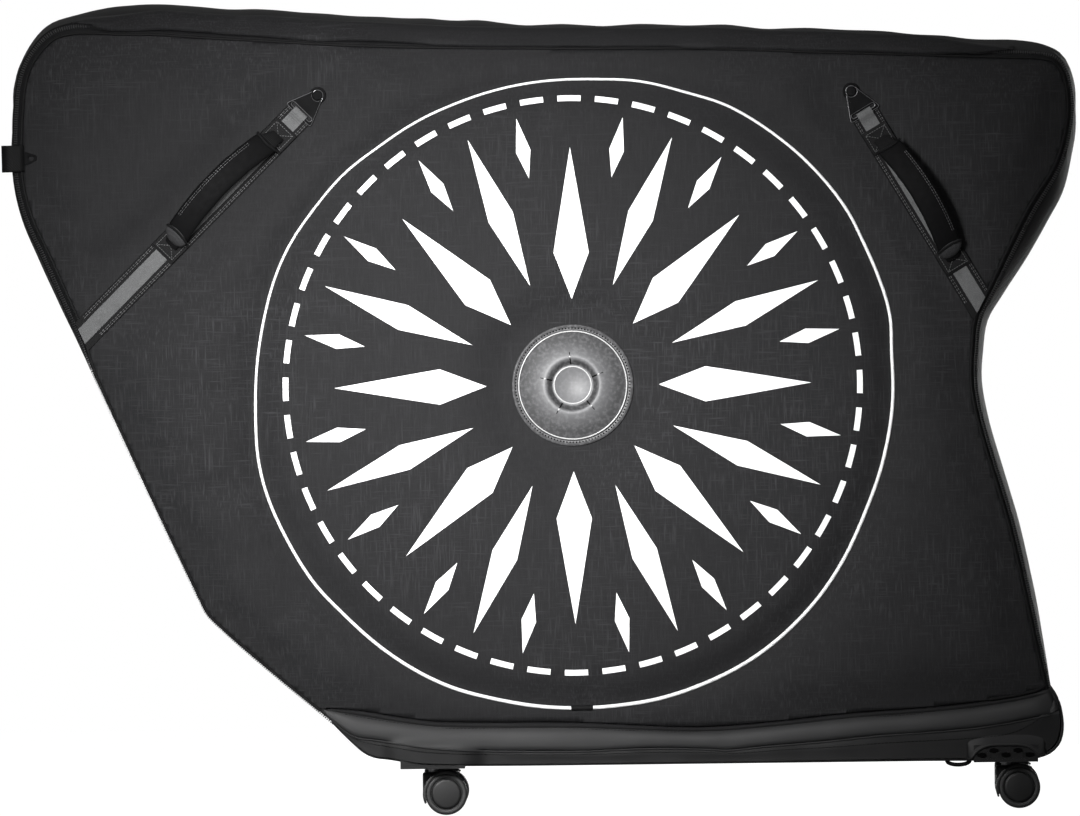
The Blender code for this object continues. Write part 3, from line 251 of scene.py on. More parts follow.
bm = bmesh.new()
bmesh.ops.create_circle(bm, cap_ends=True, radius=FLOOR_RADIUS, segments=96)
floor = bpy.data.objects.new("floor", bpy.data.meshes.new("floor"))
bm.to_mesh(floor.data)
bm.free()
scene.collection.objects.link(floor)
floor.location.z = FLOOR_LEVEL
lit = Finish("floor_white", (0.35, 0.35, 0.35), 0.9)
share = lit.math("MULTIPLY", lit.node("LightPath").outputs["Is Camera Ray"], PLAIN_WHITE_SHARE)
white = lit.node("Emission", Color=WHITE, Strength=FLOOR_GLOW).outputs[0]
mixed = lit.node("MixShader", _0=share, _1=lit.shader.outputs[0], _2=white).outputs[0]
lit.give(lit.tree.nodes["Material Output"].inputs["Surface"], mixed)
floor.data.materials.append(lit.material)
print("floor ready")

# %% [markdown]
# ## Woven cloth and its print
#
# The main cloth is a matt woven nylon. Two stretched noises make the upright and the level
# slub threads, a third one lets them come and go in patches, and a fine wave in both
# directions is the weave itself. The print of the round panel is white ink: its shapes
# are worked out from the distance and the direction to the hub, a fan of kites in three
# rings and a ring of dashes, so no picture is needed.

# %% Woven cloth
THREAD = 0.0011
WAVES_PER_METRE = 1 / THREAD / 3.2
SLUB_SHARE = 0.80


def woven(name, colour=(0.0092, 0.0092, 0.0098)):
    made = Finish(name, colour, 0.74, Specular_IOR_Level=0.16, Sheen_Weight=0.02,
                  Sheen_Roughness=0.4)
    upright = made.noise(1.0, scale=(620, 620, 34))
    level = made.noise(1.0, scale=(34, 34, 620), centre=(5, 3, 9))
    cloud = made.noise(5.5, 3.0, centre=(2.3, 0.4, 7.1))
    slub = made.math("MAXIMUM", made.spread(upright, 0.52, 0.78), made.spread(level, 0.55, 0.80))
    slub = made.math("MULTIPLY", slub, made.spread(cloud, 0.38, 0.62, 0.25, 1.0))
    light = shade(colour, 3.4)
    made.tint(made.spread(upright, 0.46, 0.25, 0.0, 0.5), shade(colour, 0.55))
    made.tint(made.math("MULTIPLY", slub, SLUB_SHARE), light)
    made.tint(made.spread(made.noise(2600.0, 1.0), 0.45, 0.75, 0.0, 0.30), light)
    weave = made.math("MULTIPLY", *(made.wave(axis, WAVES_PER_METRE) for axis in "XZ"))
    made.bump(weave, 0.0002)
    made.bump(slub, 0.00025, 0.7)
    return made


cloth = woven("woven_nylon").material
outer_cloth = woven("outer_cloth", (0.0050, 0.0050, 0.0053)).material
print("cloth threads", THREAD * 1000, "mm")

# %% Print of the round panels
INK = (0.88, 0.88, 0.88)
INK_EDGE = 0.0002


def fan(made, angle, radius, count, phase, start, widest, end, half_width_at_widest):
    """A mask of kites that point away from the centre."""
    turn = made.math("MULTIPLY_ADD", angle, count / (2 * pi), phase)
    turn = made.math("SUBTRACT", made.math("FRACT", turn), 0.5)
    aside = made.math("MULTIPLY", made.math("ABSOLUTE", turn), 2 * pi / count)
    aside = made.math("MULTIPLY", aside, radius)
    rise = made.spread(radius, start, widest, 0.0, half_width_at_widest)
    fall = made.spread(radius, widest, end, half_width_at_widest, 0.0)
    reach = made.math("SUBTRACT", made.math("MINIMUM", rise, fall), INK_EDGE)
    return made.math("LESS_THAN", aside, reach)


def dashes(made, angle, radius, count, phase, middle, half, duty):
    """A mask of short strokes along a circle."""
    turn = made.math("FRACT", made.math("MULTIPLY_ADD", angle, count / (2 * pi), phase))
    off = made.math("ABSOLUTE", made.math("SUBTRACT", radius, middle))
    return made.math("MULTIPLY", made.math("LESS_THAN", turn, duty),
                     made.math("LESS_THAN", off, half))


printed = woven("printed_nylon")
x, z, radius = printed.round_hub()
angle = printed.math("ARCTAN2", z, x)
ink = fan(printed, angle, radius, 8, 0.5, 0.096, 0.150, 0.268, 0.0200)
for mask in (fan(printed, angle, radius, 8, 0.0, 0.120, 0.205, 0.300, 0.0150),
             fan(printed, angle, radius, 16, 0.0, 0.236, 0.268, 0.306, 0.0085),
             dashes(printed, angle, radius, 48, 0.3, 0.3215, 0.0032, 0.62)):
    ink = printed.math("MAXIMUM", ink, mask)
worn = printed.spread(printed.noise(1500.0, 1.0), 0.2, 0.5, 0.93, 1.0)
printed.tint(printed.math("MULTIPLY", ink, worn), INK)
print("print nodes:", len(printed.tree.nodes))

# %% [markdown]
# ## The outline of the bag
#
# Every soft piece follows the same closed outline, so it is described once, in metres, by
# a few points with the height of the gusset's crown at each. A Catmull-Rom curve joins
# them smoothly. The seam lies inside the outline by the crown, because the gusset domes
# outwards between its two seams and that dome is what the eye sees as the edge.

# %% Outline points
BAG_LENGTH, BAG_HEIGHT, BASE_HEIGHT = 1.1955, 0.8566, 0.0558
HALF_BASE = 0.15
STATION_STEP = 0.008
TOP_CROWN = 0.026
SIDE_LEAN = 0.04086
OUTLINE_SHARES = (
    (-0.2021, 0.0567, 0.02), (-0.2206, 0.0778, 0.04), (-0.2504, 0.1118, 0.06),
    (-0.2944, 0.1651, 0.06), (-0.3083, 0.1836, 0.05), (-0.3194, 0.1995, 0.04),
    (-0.3249, 0.2127, 0.05), (-0.3359, 0.2443, 0.07), (-0.3802, 0.3763, 0.10),
    (-0.4495, 0.5867, 0.22), (-0.4751, 0.6656, 0.26), (-0.4905, 0.7182, 0.20),
    (-0.4990, 0.7707, 0.18), (-0.5000, 0.8300, 0.20), (-0.4954, 0.9079, 0.26),
    (-0.4858, 0.9405, 0.30), (-0.4658, 0.9728, 0.38), (-0.4423, 0.9868, 0.50),
    (-0.3935, 0.9964, 0.86), (-0.3600, 1.0000, 1.00), (-0.3204, 0.9959, 1.00),
    (-0.1332, 0.9776, 0.95), (-0.0021, 0.9675, 0.85), (0.1384, 0.9651, 0.85),
    (0.2789, 0.9569, 0.85), (0.3912, 0.9438, 0.62), (0.4427, 0.9371, 0.50),
    (0.4700, 0.9306, 0.36), (0.4852, 0.9207, 0.26), (0.4944, 0.9022, 0.20),
    (0.5000, 0.8483, 0.18), (0.4947, 0.7799, 0.42), (0.4868, 0.7382, 0.76),
    (0.4725, 0.7018, 0.85), (0.4524, 0.6537, 0.75), (0.4295, 0.6057, 0.50),
    (0.4151, 0.5720, 0.40), (0.4106, 0.5328, 0.35), (0.4088, 0.4936, 0.31),
    (0.4140, 0.4477, 0.30), (0.4419, 0.3099, 0.30), (0.4561, 0.2181, 0.28),
    (0.4638, 0.1526, 0.20), (0.4704, 0.0871, 0.05), (0.4720, 0.0500, 0.02),
)


def half_width(z):
    """Half the bag's width at a height: both sides lean in towards the top."""
    return HALF_BASE - SIDE_LEAN * (z - BASE_HEIGHT)


def smooth_run(points, step):
    """Points about a step apart on a smooth curve through the given ones."""
    points = [Vector(point) for point in points]
    points = [2 * points[0] - points[1], *points, 2 * points[-1] - points[-2]]
    run = [points[1]]
    for p0, p1, p2, p3 in zip(points, points[1:], points[2:], points[3:]):
        t1 = sqrt((p1 - p0).xy.length)
        t2 = t1 + sqrt((p2 - p1).xy.length)
        t3 = t2 + sqrt((p3 - p2).xy.length)
        parts = max(1, round((p2 - p1).xy.length / step))
        for part in range(1, parts + 1):
            t = t1 + (t2 - t1) * part / parts
            a1 = p0 * ((t1 - t) / t1) + p1 * (t / t1)
            a2 = p1 * ((t2 - t) / (t2 - t1)) + p2 * ((t - t1) / (t2 - t1))
            a3 = p2 * ((t3 - t) / (t3 - t2)) + p3 * ((t - t2) / (t3 - t2))
            b1 = a1 * ((t2 - t) / t2) + a2 * (t / t2)
            b2 = a2 * ((t3 - t) / (t3 - t1)) + a3 * ((t - t1) / (t3 - t1))
            run.append(b1 * ((t2 - t) / (t2 - t1)) + b2 * ((t - t1) / (t2 - t1)))
    return run


class Station:
    """One place on the seam: its point, the way out and along, and the crown there."""

    def __init__(self, before, here, after):
        self.along = (after.xy - before.xy).normalized()
        self.out = Vector((-self.along.y, self.along.x))
        self.crown = here.z
        self.seam = here.xy - self.out * here.z
        self.half = half_width(self.seam.y)

    def rise(self, depth):
        share = depth / (2 * self.half)
        return self.crown * (1 - (1 - 2 * share) ** 2)

    def point(self, lift, depth, side=-1):
        """A point lifted out of the seam, at a depth behind the near (or far) face."""
        spot = self.seam + self.out * lift
        return Vector((spot.x, side * (self.half - depth), spot.y))


run = smooth_run([(x * BAG_LENGTH, BASE_HEIGHT + z * BAG_HEIGHT, crown * TOP_CROWN)
                  for x, z, crown in OUTLINE_SHARES], STATION_STEP)
run = [2 * run[0] - run[1], *run, 2 * run[-1] - run[-2]]
stations = [Station(*three) for three in zip(run, run[1:], run[2:])]
print("stations along the seam:", len(stations))

# %% [markdown]
# The tub has its own outline: a rim that sags in the middle, and a foot that is flat
# under the floor of the bag and turns up at both ends.

# %% Tub outline
RIM = ((-0.2560, 0.1204), (-0.2330, 0.1192), (-0.2079, 0.1165), (-0.1811, 0.1117),
       (-0.1285, 0.1043), (-0.0625, 0.1024), (0.0271, 0.1013), (0.1000, 0.0972),
       (0.1671, 0.0945), (0.2422, 0.0987), (0.3330, 0.1076), (0.4227, 0.1133),
       (0.4832, 0.1192), (0.5300, 0.1262), (0.5596, 0.1335))
FOOT = ((-0.2560, 0.1204), (-0.2416, 0.1046), (-0.2225, 0.0850), (-0.2057, 0.0705),
        (-0.1950, 0.0662), (-0.1820, 0.0646), (-0.1680, 0.0622), (-0.1500, 0.0584),
        (-0.1200, 0.0568), (-0.0500, 0.0560),
        (0.2000, 0.0558), (0.4000, 0.0558), (0.5150, 0.0558), (0.5470, 0.0578),
        (0.5610, 0.0635), (0.5700, 0.0740), (0.5733, 0.0880))
BELLY = ((-0.2560, 0.1190), (-0.2205, 0.0909), (-0.1948, 0.0861), (-0.1311, 0.0764),
         (-0.0700, 0.0727), (-0.0360, 0.0718), (0.0268, 0.0710), (0.1200, 0.0733),
         (0.1820, 0.0712), (0.1970, 0.0701), (0.2419, 0.0740), (0.3060, 0.0785),
         (0.3619, 0.0838), (0.4830, 0.0924), (0.5640, 0.1071))


def level_on(line, x):
    """The height of a line of (x, z) points at an x."""
    for (x0, z0), (x1, z1) in zip(line, line[1:]):
        if x <= x1 or (x1, z1) == line[-1]:
            share = min(max((x - x0) / (x1 - x0), 0), 1)
            return z0 + (z1 - z0) * share
    return line[-1][1]


rim_run, belly_run = ([tuple(point) for point in smooth_run(line, STATION_STEP)]
                      for line in (RIM, BELLY))
print("rim points:", len(rim_run))

# %% [markdown]
# ## Small tools for meshes
#
# A sweep lays one row of points after another and joins them: bmesh extrudes the last row
# of edges and moves the new points to their places. Each finished piece is cleaned,
# linked, given its finish, and then told which body it rides on; the solids it stands
# for are hidden.


# %% Mesh helpers
SIDES = {"near": -1, "far": 1}
BODY_OF = {"near": "door", "far": "bag_body"}


def sweep(rows, ring=False, capped=True):
    """Extrudes a row of edges along a list of rows; ring closes each row on itself."""
    bm = bmesh.new()
    first = [bm.verts.new(point) for point in rows[0]]
    pairs = list(zip(first, first[1:])) + ([(first[-1], first[0])] if ring else [])
    edges = [bm.edges.new(pair) for pair in pairs]
    opening = list(edges)
    front = first
    for row in rows[1:]:
        made = bmesh.ops.extrude_edge_only(bm, edges=edges)["geom"]
        fresh = {item for item in made if isinstance(item, bmesh.types.BMVert)}
        moved = []
        for vertex, place in zip(front, row):
            twin = next(e.other_vert(vertex) for e in vertex.link_edges
                        if e.other_vert(vertex) in fresh)
            twin.co = place
            moved.append(twin)
        edges = [item for item in made if isinstance(item, bmesh.types.BMEdge)
                 and all(v in fresh for v in item.verts)]
        front = moved
    if ring and capped:
        bmesh.ops.contextual_create(bm, geom=opening)
        bmesh.ops.contextual_create(bm, geom=edges)
    return bm


def add_piece(bm, name, finish, body, nodes=(), smooth_deg=40.0, merge=1e-6,
              flat=False):
    """Turns a bmesh into a named piece that rides on a body and may stand for solids."""
    if merge:
        bmesh.ops.remove_doubles(bm, verts=bm.verts[:], dist=merge)
        bmesh.ops.recalc_face_normals(bm, faces=bm.faces[:])
    mesh = bpy.data.meshes.new(name)
    bm.to_mesh(mesh)
    bm.free()
    if not flat:
        mesh.shade_smooth()
        mesh.set_sharp_from_angle(angle=radians(smooth_deg))
    piece = bpy.data.objects.new(name, mesh)
    scene.collection.objects.link(piece)
    mesh.materials.append(finish)
    if body:
        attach(piece, body)
    if nodes:
        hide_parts(*nodes)
    return piece


def thicken(piece, thickness, offset=-1.0):
    """Gives a skin its thickness, inwards unless told otherwise."""
    wall = piece.modifiers.new("thickness", "SOLIDIFY")
    wall.thickness = thickness
    wall.offset = offset
    wall.use_even_offset = False
    return piece


print("helpers ready")

# %% [markdown]
# ## How far the padding stands out
#
# The side panels are two cloths with foam between them. Foam fills out the middle of each
# field and is held down wherever something is sewn or riveted through it: at the border,
# under the straps, round the hub cover and along the piped ring. One function gives that
# swelling at any point, so that everything lying on the panel can follow it.

# %% Padding
RING_CENTRE = np.array((0.0350, 0.4697))
RING_TABLE = ((0, .3540), (20, .3620), (40, .3660), (58, .3650), (74, .3580), (90, .3525),
              (108, .3525), (124, .3545), (140, .3600), (156, .3635), (168, .3600),
              (180, .3600), (194, .3655), (210, .3630), (228, .3585), (244, .3580),
              (256, .3520), (272, .3510), (290, .3530), (302, .3550), (316, .3540),
              (326, .3515), (336, .3475), (348, .3505), (360, .3540))
HUB_RADIUS = 0.068
STUDS = ((-0.2518, 0.8076), (0.3458, 0.8051))
STRAP_ENDS = ((-0.5220, 0.5381), (0.4952, 0.5525))
FOAM_RISE = 0.0045
FOAM_EDGE = 0.030
STRAP_HOLD = 0.017
PUCKER, SEAM_DIP, RING_DIP = 0.0011, 0.0022, 0.0010


def ring_radius(angle):
    """The ring isn't a true circle: it was sewn by hand round a stiff board."""
    turned = np.degrees(angle) % 360
    grid = np.array([row[0] for row in RING_TABLE[:-1]], float)
    values = np.array([row[1] for row in RING_TABLE[:-1]])
    total = np.zeros_like(turned)
    weights = np.zeros_like(turned)
    for place, value in zip(grid, values):
        gap = (turned - place + 180) % 360 - 180
        weight = np.exp(-(gap / 8.5) ** 2)
        total += weight * value
        weights += weight
    return total / weights


def to_segment(x, z, a, b):
    """Distance from points to a straight line between two others."""
    ax, az, bx, bz = *a, *b
    share = np.clip(((x - ax) * (bx - ax) + (z - az) * (bz - az))
                    / ((bx - ax) ** 2 + (bz - az) ** 2), 0, 1)
    return np.hypot(x - ax - share * (bx - ax), z - az - share * (bz - az))


def held(distance, width):
    """0 where the foam is held down, and 1 away from there."""
    return 1 - np.exp(-(np.maximum(distance, 0) / width) ** 2)


def border_distance(x, z, border):
    far = np.full(x.shape, 9.0)
    for a, b in zip(border, border[1:] + border[:1]):
        far = np.minimum(far, to_segment(x, z, a, b))
    return far


def landmarks(x, z):
    """Distances to the ring (less than 0 inside it), the nearest strap and the hub cover."""
    dx, dz = x - RING_CENTRE[0], z - RING_CENTRE[1]
    to_ring = np.hypot(dx, dz) - ring_radius(np.arctan2(dz, dx))
    strap = np.minimum(*(to_segment(x, z, a, b) for a, b in zip(STUDS, STRAP_ENDS)))
    return to_ring, strap, np.hypot(x - HUB[0], z - HUB[1]) - HUB_RADIUS


def at_each(x, z, function):
    return np.array([function(px, pz) for px, pz in zip(x.ravel(), z.ravel())]).reshape(x.shape)


def swelling(x, z, border):
    """How far the cloth stands out of the panel's plane, in metres."""
    x, z = np.asarray(x, float), np.asarray(z, float)
    edge = border_distance(x, z, border)
    to_ring, strap, hub = landmarks(x, z)
    free = held(strap - STRAP_HOLD, 0.030) * held(hub - 0.004, 0.030)
    lift = FOAM_RISE * held(edge, FOAM_EDGE) * held(np.abs(to_ring), 0.020)
    lift *= free
    waves = at_each(x, z, lambda px, pz: noise.noise((px * 5.0, pz * 4.2, 3.7)) * 0.0022
                    + noise.noise((px * 13.0 + pz * 5, pz * 9.0, 8.1)) * 0.0009)
    puckers = at_each(x, z, lambda px, pz: noise.noise((px * 34.0, pz * 34.0, 1.3)))
    calm = free * held(np.abs(to_ring), 0.012)
    lift += (waves + settled_lift(x, z)) * calm * held(edge, 0.02)
    lift += puckers * PUCKER * np.exp(-(edge / 0.035) ** 2) * held(edge, 0.006) * calm
    lift -= SEAM_DIP * np.exp(-(edge / 0.007) ** 2)
    lift -= RING_DIP * np.exp(-(to_ring / 0.005) ** 2)
    return lift


print("ring radius", round(float(ring_radius(np.array(0.0))), 4))

# %% [markdown]
# ## Side panels
#
# A panel starts as one flat polygon inside the seam. Cutting it with many planes turns it
# into a fine grid whose border stays exact, and each point is then moved out by the
# swelling. The near panel stops short of the seam where the zip shows.

# %% Panel borders
ZIP_INSET = 0.0085
PLAIN_INSET = 0.0030
HIDDEN_INSET = 0.0008
ZIP_LOW = 0.50


def zip_inset(station):
    """How far the near panel stops inside the seam: more where the zip is in view."""
    left = min(max((-0.02 - station.seam.x) / 0.2, 0), 1)
    inset = PLAIN_INSET + (ZIP_INSET - PLAIN_INSET) * (0.35 + 0.65 * left)
    hidden = left * min(max((ZIP_LOW + 0.06 - station.seam.y) / 0.06, 0), 1)
    return inset + (HIDDEN_INSET - inset) * hidden


def panel_border(inset, drop):
    """The panel's border as (x, z) points: along the seam, then back along the tub's rim."""
    top = [station.seam - station.out * inset(station) for station in stations]
    top = [tuple(p) for p in top if p.y > level_on(rim_run, p.x) - 0.004]
    low, high = top[0][0], top[-1][0]
    bottom = [(x, z - drop) for x, z in reversed(rim_run) if low + 0.004 < x < high - 0.004]
    return top + bottom


near_border = panel_border(zip_inset, -0.0022)
far_border = panel_border(lambda station: PLAIN_INSET, 0.004)
print("border points:", len(near_border), len(far_border))

# %% [markdown]
# ## Letting the panels settle
#
# A panel is padded cloth that is held along its border, the ring, the hub and the straps.
# A coarse sheet is pinned in the same places, made a little too large and pushed out by a
# small pressure. The cloth simulation finds the soft folds between the pins, and the fine
# panels then read their lift from it.

# %% Cloth simulation
SHEET_STEP = 0.012
SHEET_FRAMES = 24
SHEET_LIMIT = 0.0060
SHEET_EXCESS = 0.004
SHEET_PRESSURE = 0.5
sheet_x = np.arange(-0.60, 0.60, SHEET_STEP)
sheet_z = np.arange(0.08, 0.90, SHEET_STEP)
sheet_rows = np.zeros((len(sheet_z), len(sheet_x)))


def inside(x, z, border):
    """Which points lie inside a closed border."""
    odd = np.zeros(x.shape, bool)
    for (ax, az), (bx, bz) in zip(border, border[1:] + border[:1]):
        if az != bz:
            odd ^= ((az > z) != (bz > z)) & (x < (bx - ax) * (z - az) / (bz - az) + ax)
    return odd


CLOTH_SETTINGS = {
    "quality": 6, "mass": 0.25, "tension_stiffness": 12, "compression_stiffness": 12,
    "bending_stiffness": 0.6, "vertex_group_mass": "pins", "shrink_min": -SHEET_EXCESS,
    "use_pressure": True, "uniform_pressure_force": SHEET_PRESSURE,
}


def settle():
    """Runs the simulation and returns how far each sheet point moved out."""
    x, z = np.meshgrid(sheet_x, sheet_z)
    to_ring, strap, hub = landmarks(x, z)
    free = held(border_distance(x, z, near_border) - 0.004, 0.010) * inside(x, z, near_border)
    free = free * held(np.abs(to_ring) - 0.003, 0.006) * held(strap - 0.018, 0.010)
    free = free * held(hub - 0.002, 0.008)
    columns = len(sheet_x)
    corners = [row * columns + column for row in range(len(sheet_z) - 1)
               for column in range(columns - 1)]
    mesh = bpy.data.meshes.new("settling_sheet")
    mesh.from_pydata([(px, 0, pz) for px, pz in zip(x.ravel(), z.ravel())], [],
                     [(c, c + 1, c + 1 + columns, c + columns) for c in corners])
    sheet = bpy.data.objects.new("settling_sheet", mesh)
    scene.collection.objects.link(sheet)
    pins = sheet.vertex_groups.new(name="pins")
    for index, weight in enumerate(1 - free.ravel()):
        pins.add([index], float(weight), "REPLACE")
    modifier = sheet.modifiers.new("settle", "CLOTH")
    modifier.point_cache.frame_end = SHEET_FRAMES
    for setting, value in CLOTH_SETTINGS.items():
        setattr(modifier.settings, setting, value)
    modifier.settings.effector_weights.gravity = 0
    for frame_number in range(1, SHEET_FRAMES + 1):
        scene.frame_set(frame_number)
    moved = sheet.evaluated_get(bpy.context.evaluated_depsgraph_get()).data
    out = np.array([-vertex.co.y for vertex in moved.vertices]).reshape(x.shape)
    scene.frame_set(1)
    bpy.data.objects.remove(sheet)
    bpy.data.meshes.remove(mesh)
    return out


sheet_rows = np.clip(settle(), -SHEET_LIMIT / 3, SHEET_LIMIT)


def settled_lift(x, z):
    """Reads the settled sheet between its points."""
    u = np.clip((x - sheet_x[0]) / SHEET_STEP, 0, len(sheet_x) - 1.001)
    v = np.clip((z - sheet_z[0]) / SHEET_STEP, 0, len(sheet_z) - 1.001)
    column, row = u.astype(int), v.astype(int)
    a, b = u - column, v - row
    low = sheet_rows[row, column] * (1 - a) + sheet_rows[row, column + 1] * a
    high = sheet_rows[row + 1, column] * (1 - a) + sheet_rows[row + 1, column + 1] * a
    return low * (1 - b) + high * b


print("settled sheet, most and mean lift in mm:", round(sheet_rows.max() * 1000, 2),
      round(sheet_rows.mean() * 1000, 2))

# %% Panels
GRID = 0.0065
PANEL_WALL = 0.005


def build_panel(side, border):
    sign = SIDES[side]
    bm = bmesh.new()
    bm.faces.new([bm.verts.new((x, 0, z)) for x, z in border])
    low = [min(p[axis] for p in border) for axis in (0, 1)]
    high = [max(p[axis] for p in border) for axis in (0, 1)]
    for axis, normal in ((0, (1, 0, 0)), (1, (0, 0, 1))):
        for cut in np.arange(low[axis] + GRID, high[axis], GRID):
            place = (cut, 0, 0) if axis == 0 else (0, 0, cut)
            bmesh.ops.bisect_plane(bm, geom=bm.verts[:] + bm.edges[:] + bm.faces[:],
                                   dist=1e-7, plane_co=place, plane_no=normal)
    x = np.array([v.co.x for v in bm.verts])
    z = np.array([v.co.z for v in bm.verts])
    for vertex, lift in zip(bm.verts, swelling(x, z, border)):
        vertex.co.y = sign * (half_width(vertex.co.z) + lift)
    bmesh.ops.triangulate(bm, faces=[f for f in bm.faces if len(f.verts) > 4])
    bmesh.ops.recalc_face_normals(bm, faces=bm.faces[:])
    middle = min(bm.faces, key=lambda f: f.calc_center_median().length)
    if middle.normal.y * sign < 0:
        bmesh.ops.reverse_faces(bm, faces=bm.faces[:])
    panel = add_piece(bm, side + "_panel_cloth", printed.material, BODY_OF[side],
                      [side + "_side_panel"], merge=0)
    panel.data.materials.append(cloth)
    thicken(panel, PANEL_WALL).modifiers["thickness"].material_offset = 1
    print(panel.name, len(panel.data.polygons), "faces")


build_panel("near", near_border)
build_panel("far", far_border)

# %% [markdown]
# ## Gusset
#
# The gusset is the band between the two side panels. It domes outwards, and because it is
# a little long for its seam it gathers in shallow cross folds, most of all at the corners.

# %% Gusset
GUSSET_SHARES = (0.0, 0.02, 0.06, 0.12, 0.2, 0.3, 0.4, 0.5, 0.6, 0.7, 0.8, 0.88, 0.94, 0.98, 1.0)
GUSSET_START, GUSSET_END = 0.0150, 0.0015
GUSSET_WALL = 0.0035


def gusset_point(index, share):
    station = stations[index]
    depth = GUSSET_START + (2 * station.half - GUSSET_START - GUSSET_END) * share
    spot = station.seam
    fold = noise.noise((spot.x * 22, spot.y * 22, share * 2.2)) * 0.0030
    fold += noise.noise((spot.x * 6, spot.y * 6, share * 3.1 + 4)) * 0.0026
    fold *= 0.15 + 0.85 * min(max((spot.y - 0.72) / 0.08, 0), 1)
    calm = 1 - (1 - 2 * share) ** 4
    return station.point(station.rise(depth) + fold * calm, depth)


rows = [[gusset_point(i, share) for share in GUSSET_SHARES] for i in range(len(stations))]
gusset = add_piece(sweep(rows), "gusset_cloth", outer_cloth, "bag_body", ["gusset"])
thicken(gusset, GUSSET_WALL)
print("gusset faces", len(gusset.data.polygons))

# %% [markdown]
# ## More finishes
#
# The tub is cloth with a plastic coat, so it shines softly and shows no thread. Webbing
# is a coarse weave with ribs across it. The rest is moulded plastic, rubber, blackened
# metal, zinc and foam, each with a little unevenness. Some colours paint light and shade:
# the tub's darker lower band and the hub cover's darker edge and groove are painted shade,
# its near-white cords and dots and the hook plates' bright rims are painted highlights,
# and a near-black paints the shade inside holes, slits and cells.


# %% The other finishes
def webbing(name, colour, ribs=0.0016):
    made = Finish(name, colour, 0.68, Specular_IOR_Level=0.14)
    made.tint(made.spread(made.noise(900.0), 0.45, 0.7, 0.0, 0.6), shade(colour, 1.6))
    patches = made.noise(60.0, 3.0, centre=(4, 1, 2))
    made.tint(made.spread(patches, 0.5, 0.75, 0.0, 0.5), shade(colour, 0.55))
    made.bump(made.wave("DIAGONAL", 0.32 / ribs, 0.6), 0.0003, 0.6)
    return made.material


def plain(name, colour, roughness, metallic=0.0, mottle=40.0, relief=0.00003, shine=0.5):
    """A moulded or metal surface: clouds of this fineness and a slight relief."""
    made = Finish(name, colour, roughness, metallic, Specular_IOR_Level=shine)
    cloud = made.noise(mottle, 4.0)
    made.rough(cloud, max(0.05, roughness - 0.12), min(1.0, roughness + 0.12))
    made.tint(made.spread(cloud, 0.35, 0.75, 0.0, 0.5), shade(colour, 0.7))
    made.bump(made.noise(1500.0), relief)
    return made.material


coated = Finish("coated_cloth", (0.0105, 0.0105, 0.0110), 0.55, Specular_IOR_Level=0.32)
coated.rough(coated.noise(9.0, 4.0), 0.50, 0.64)
coated.tint(coated.spread(coated.noise(26.0, 4.0, centre=(1, 8, 3)), 0.5, 0.8, 0.0, 0.5),
            (0.016, 0.016, 0.017))
coated.bump(coated.noise(9.0, 3.0, scale=(1, 1, 3)), 0.0016, 0.35)
coated.bump(coated.noise(1400.0), 0.00008)
coated = coated.material

hub = Finish("hub_plastic", (0.104, 0.104, 0.107), 0.46, Specular_IOR_Level=0.35)
from_axis = hub.round_hub()[2]
# Painted shade: the dome darkens from its crest out to the flange, where it turns away from the
# light.
hub.tint(hub.spread(from_axis, 0.032, 0.052, 0.0, 0.9), (0.036, 0.036, 0.037))
# Painted shade in the groove between the crest and the centre disc.
hub.tint(hub.math("MULTIPLY", hub.spread(from_axis, 0.030, 0.027),
                  hub.spread(from_axis, 0.0215, 0.0235)), (0.030, 0.030, 0.031))
hub.tint(hub.spread(hub.noise(260.0, 4.0), 0.45, 0.75, 0.0, 0.35), (0.19, 0.19, 0.195))
hub.bump(hub.noise(700.0, 3.0), 0.0002)

black_web = webbing("black_webbing", (0.0030, 0.0030, 0.0032))
tape_web = webbing("zip_tape", (0.0085, 0.0085, 0.0090), 0.0011)
grey_web = webbing("grey_webbing", (0.090, 0.091, 0.092), 0.0013)
binding = webbing("edge_binding", (0.0050, 0.0050, 0.0053), 0.0012)
cap_cloth = webbing("cap_cloth", (0.026, 0.026, 0.027), 0.0018)
pocket_cloth = webbing("pocket_cloth", (0.0110, 0.0110, 0.0115), 0.0022)
# Painted shade: the tub's band below the second seam is the coated cloth painted darker, for the
# shade where that band turns down away from the light.
coated_low_shade = plain("coated_cloth_low_shade", (0.0046, 0.0046, 0.0049), 0.56, mottle=30.0, shine=0.18)
thread = plain("sewing_thread", (0.070, 0.070, 0.072), 0.6)
cord = plain("white_piping", (0.86, 0.86, 0.86), 0.5, shine=0.3)
neoprene = plain("neoprene", (0.0024, 0.0024, 0.0026), 0.75, 0.0, 160.0, 0.0001, 0.10)
foam = plain("foam", (0.060, 0.060, 0.064), 0.95, mottle=300.0, relief=0.0006)
# Painted highlight: bright steel on the hook plates' bevelled rims stands for glints of light along
# their edges.
rim_highlight_steel = plain("rim_highlight_steel", (0.34, 0.34, 0.35), 0.30, 0.9, mottle=300.0)
zinc = plain("zinc", (0.42, 0.42, 0.43), 0.40, 1.0, mottle=120.0)
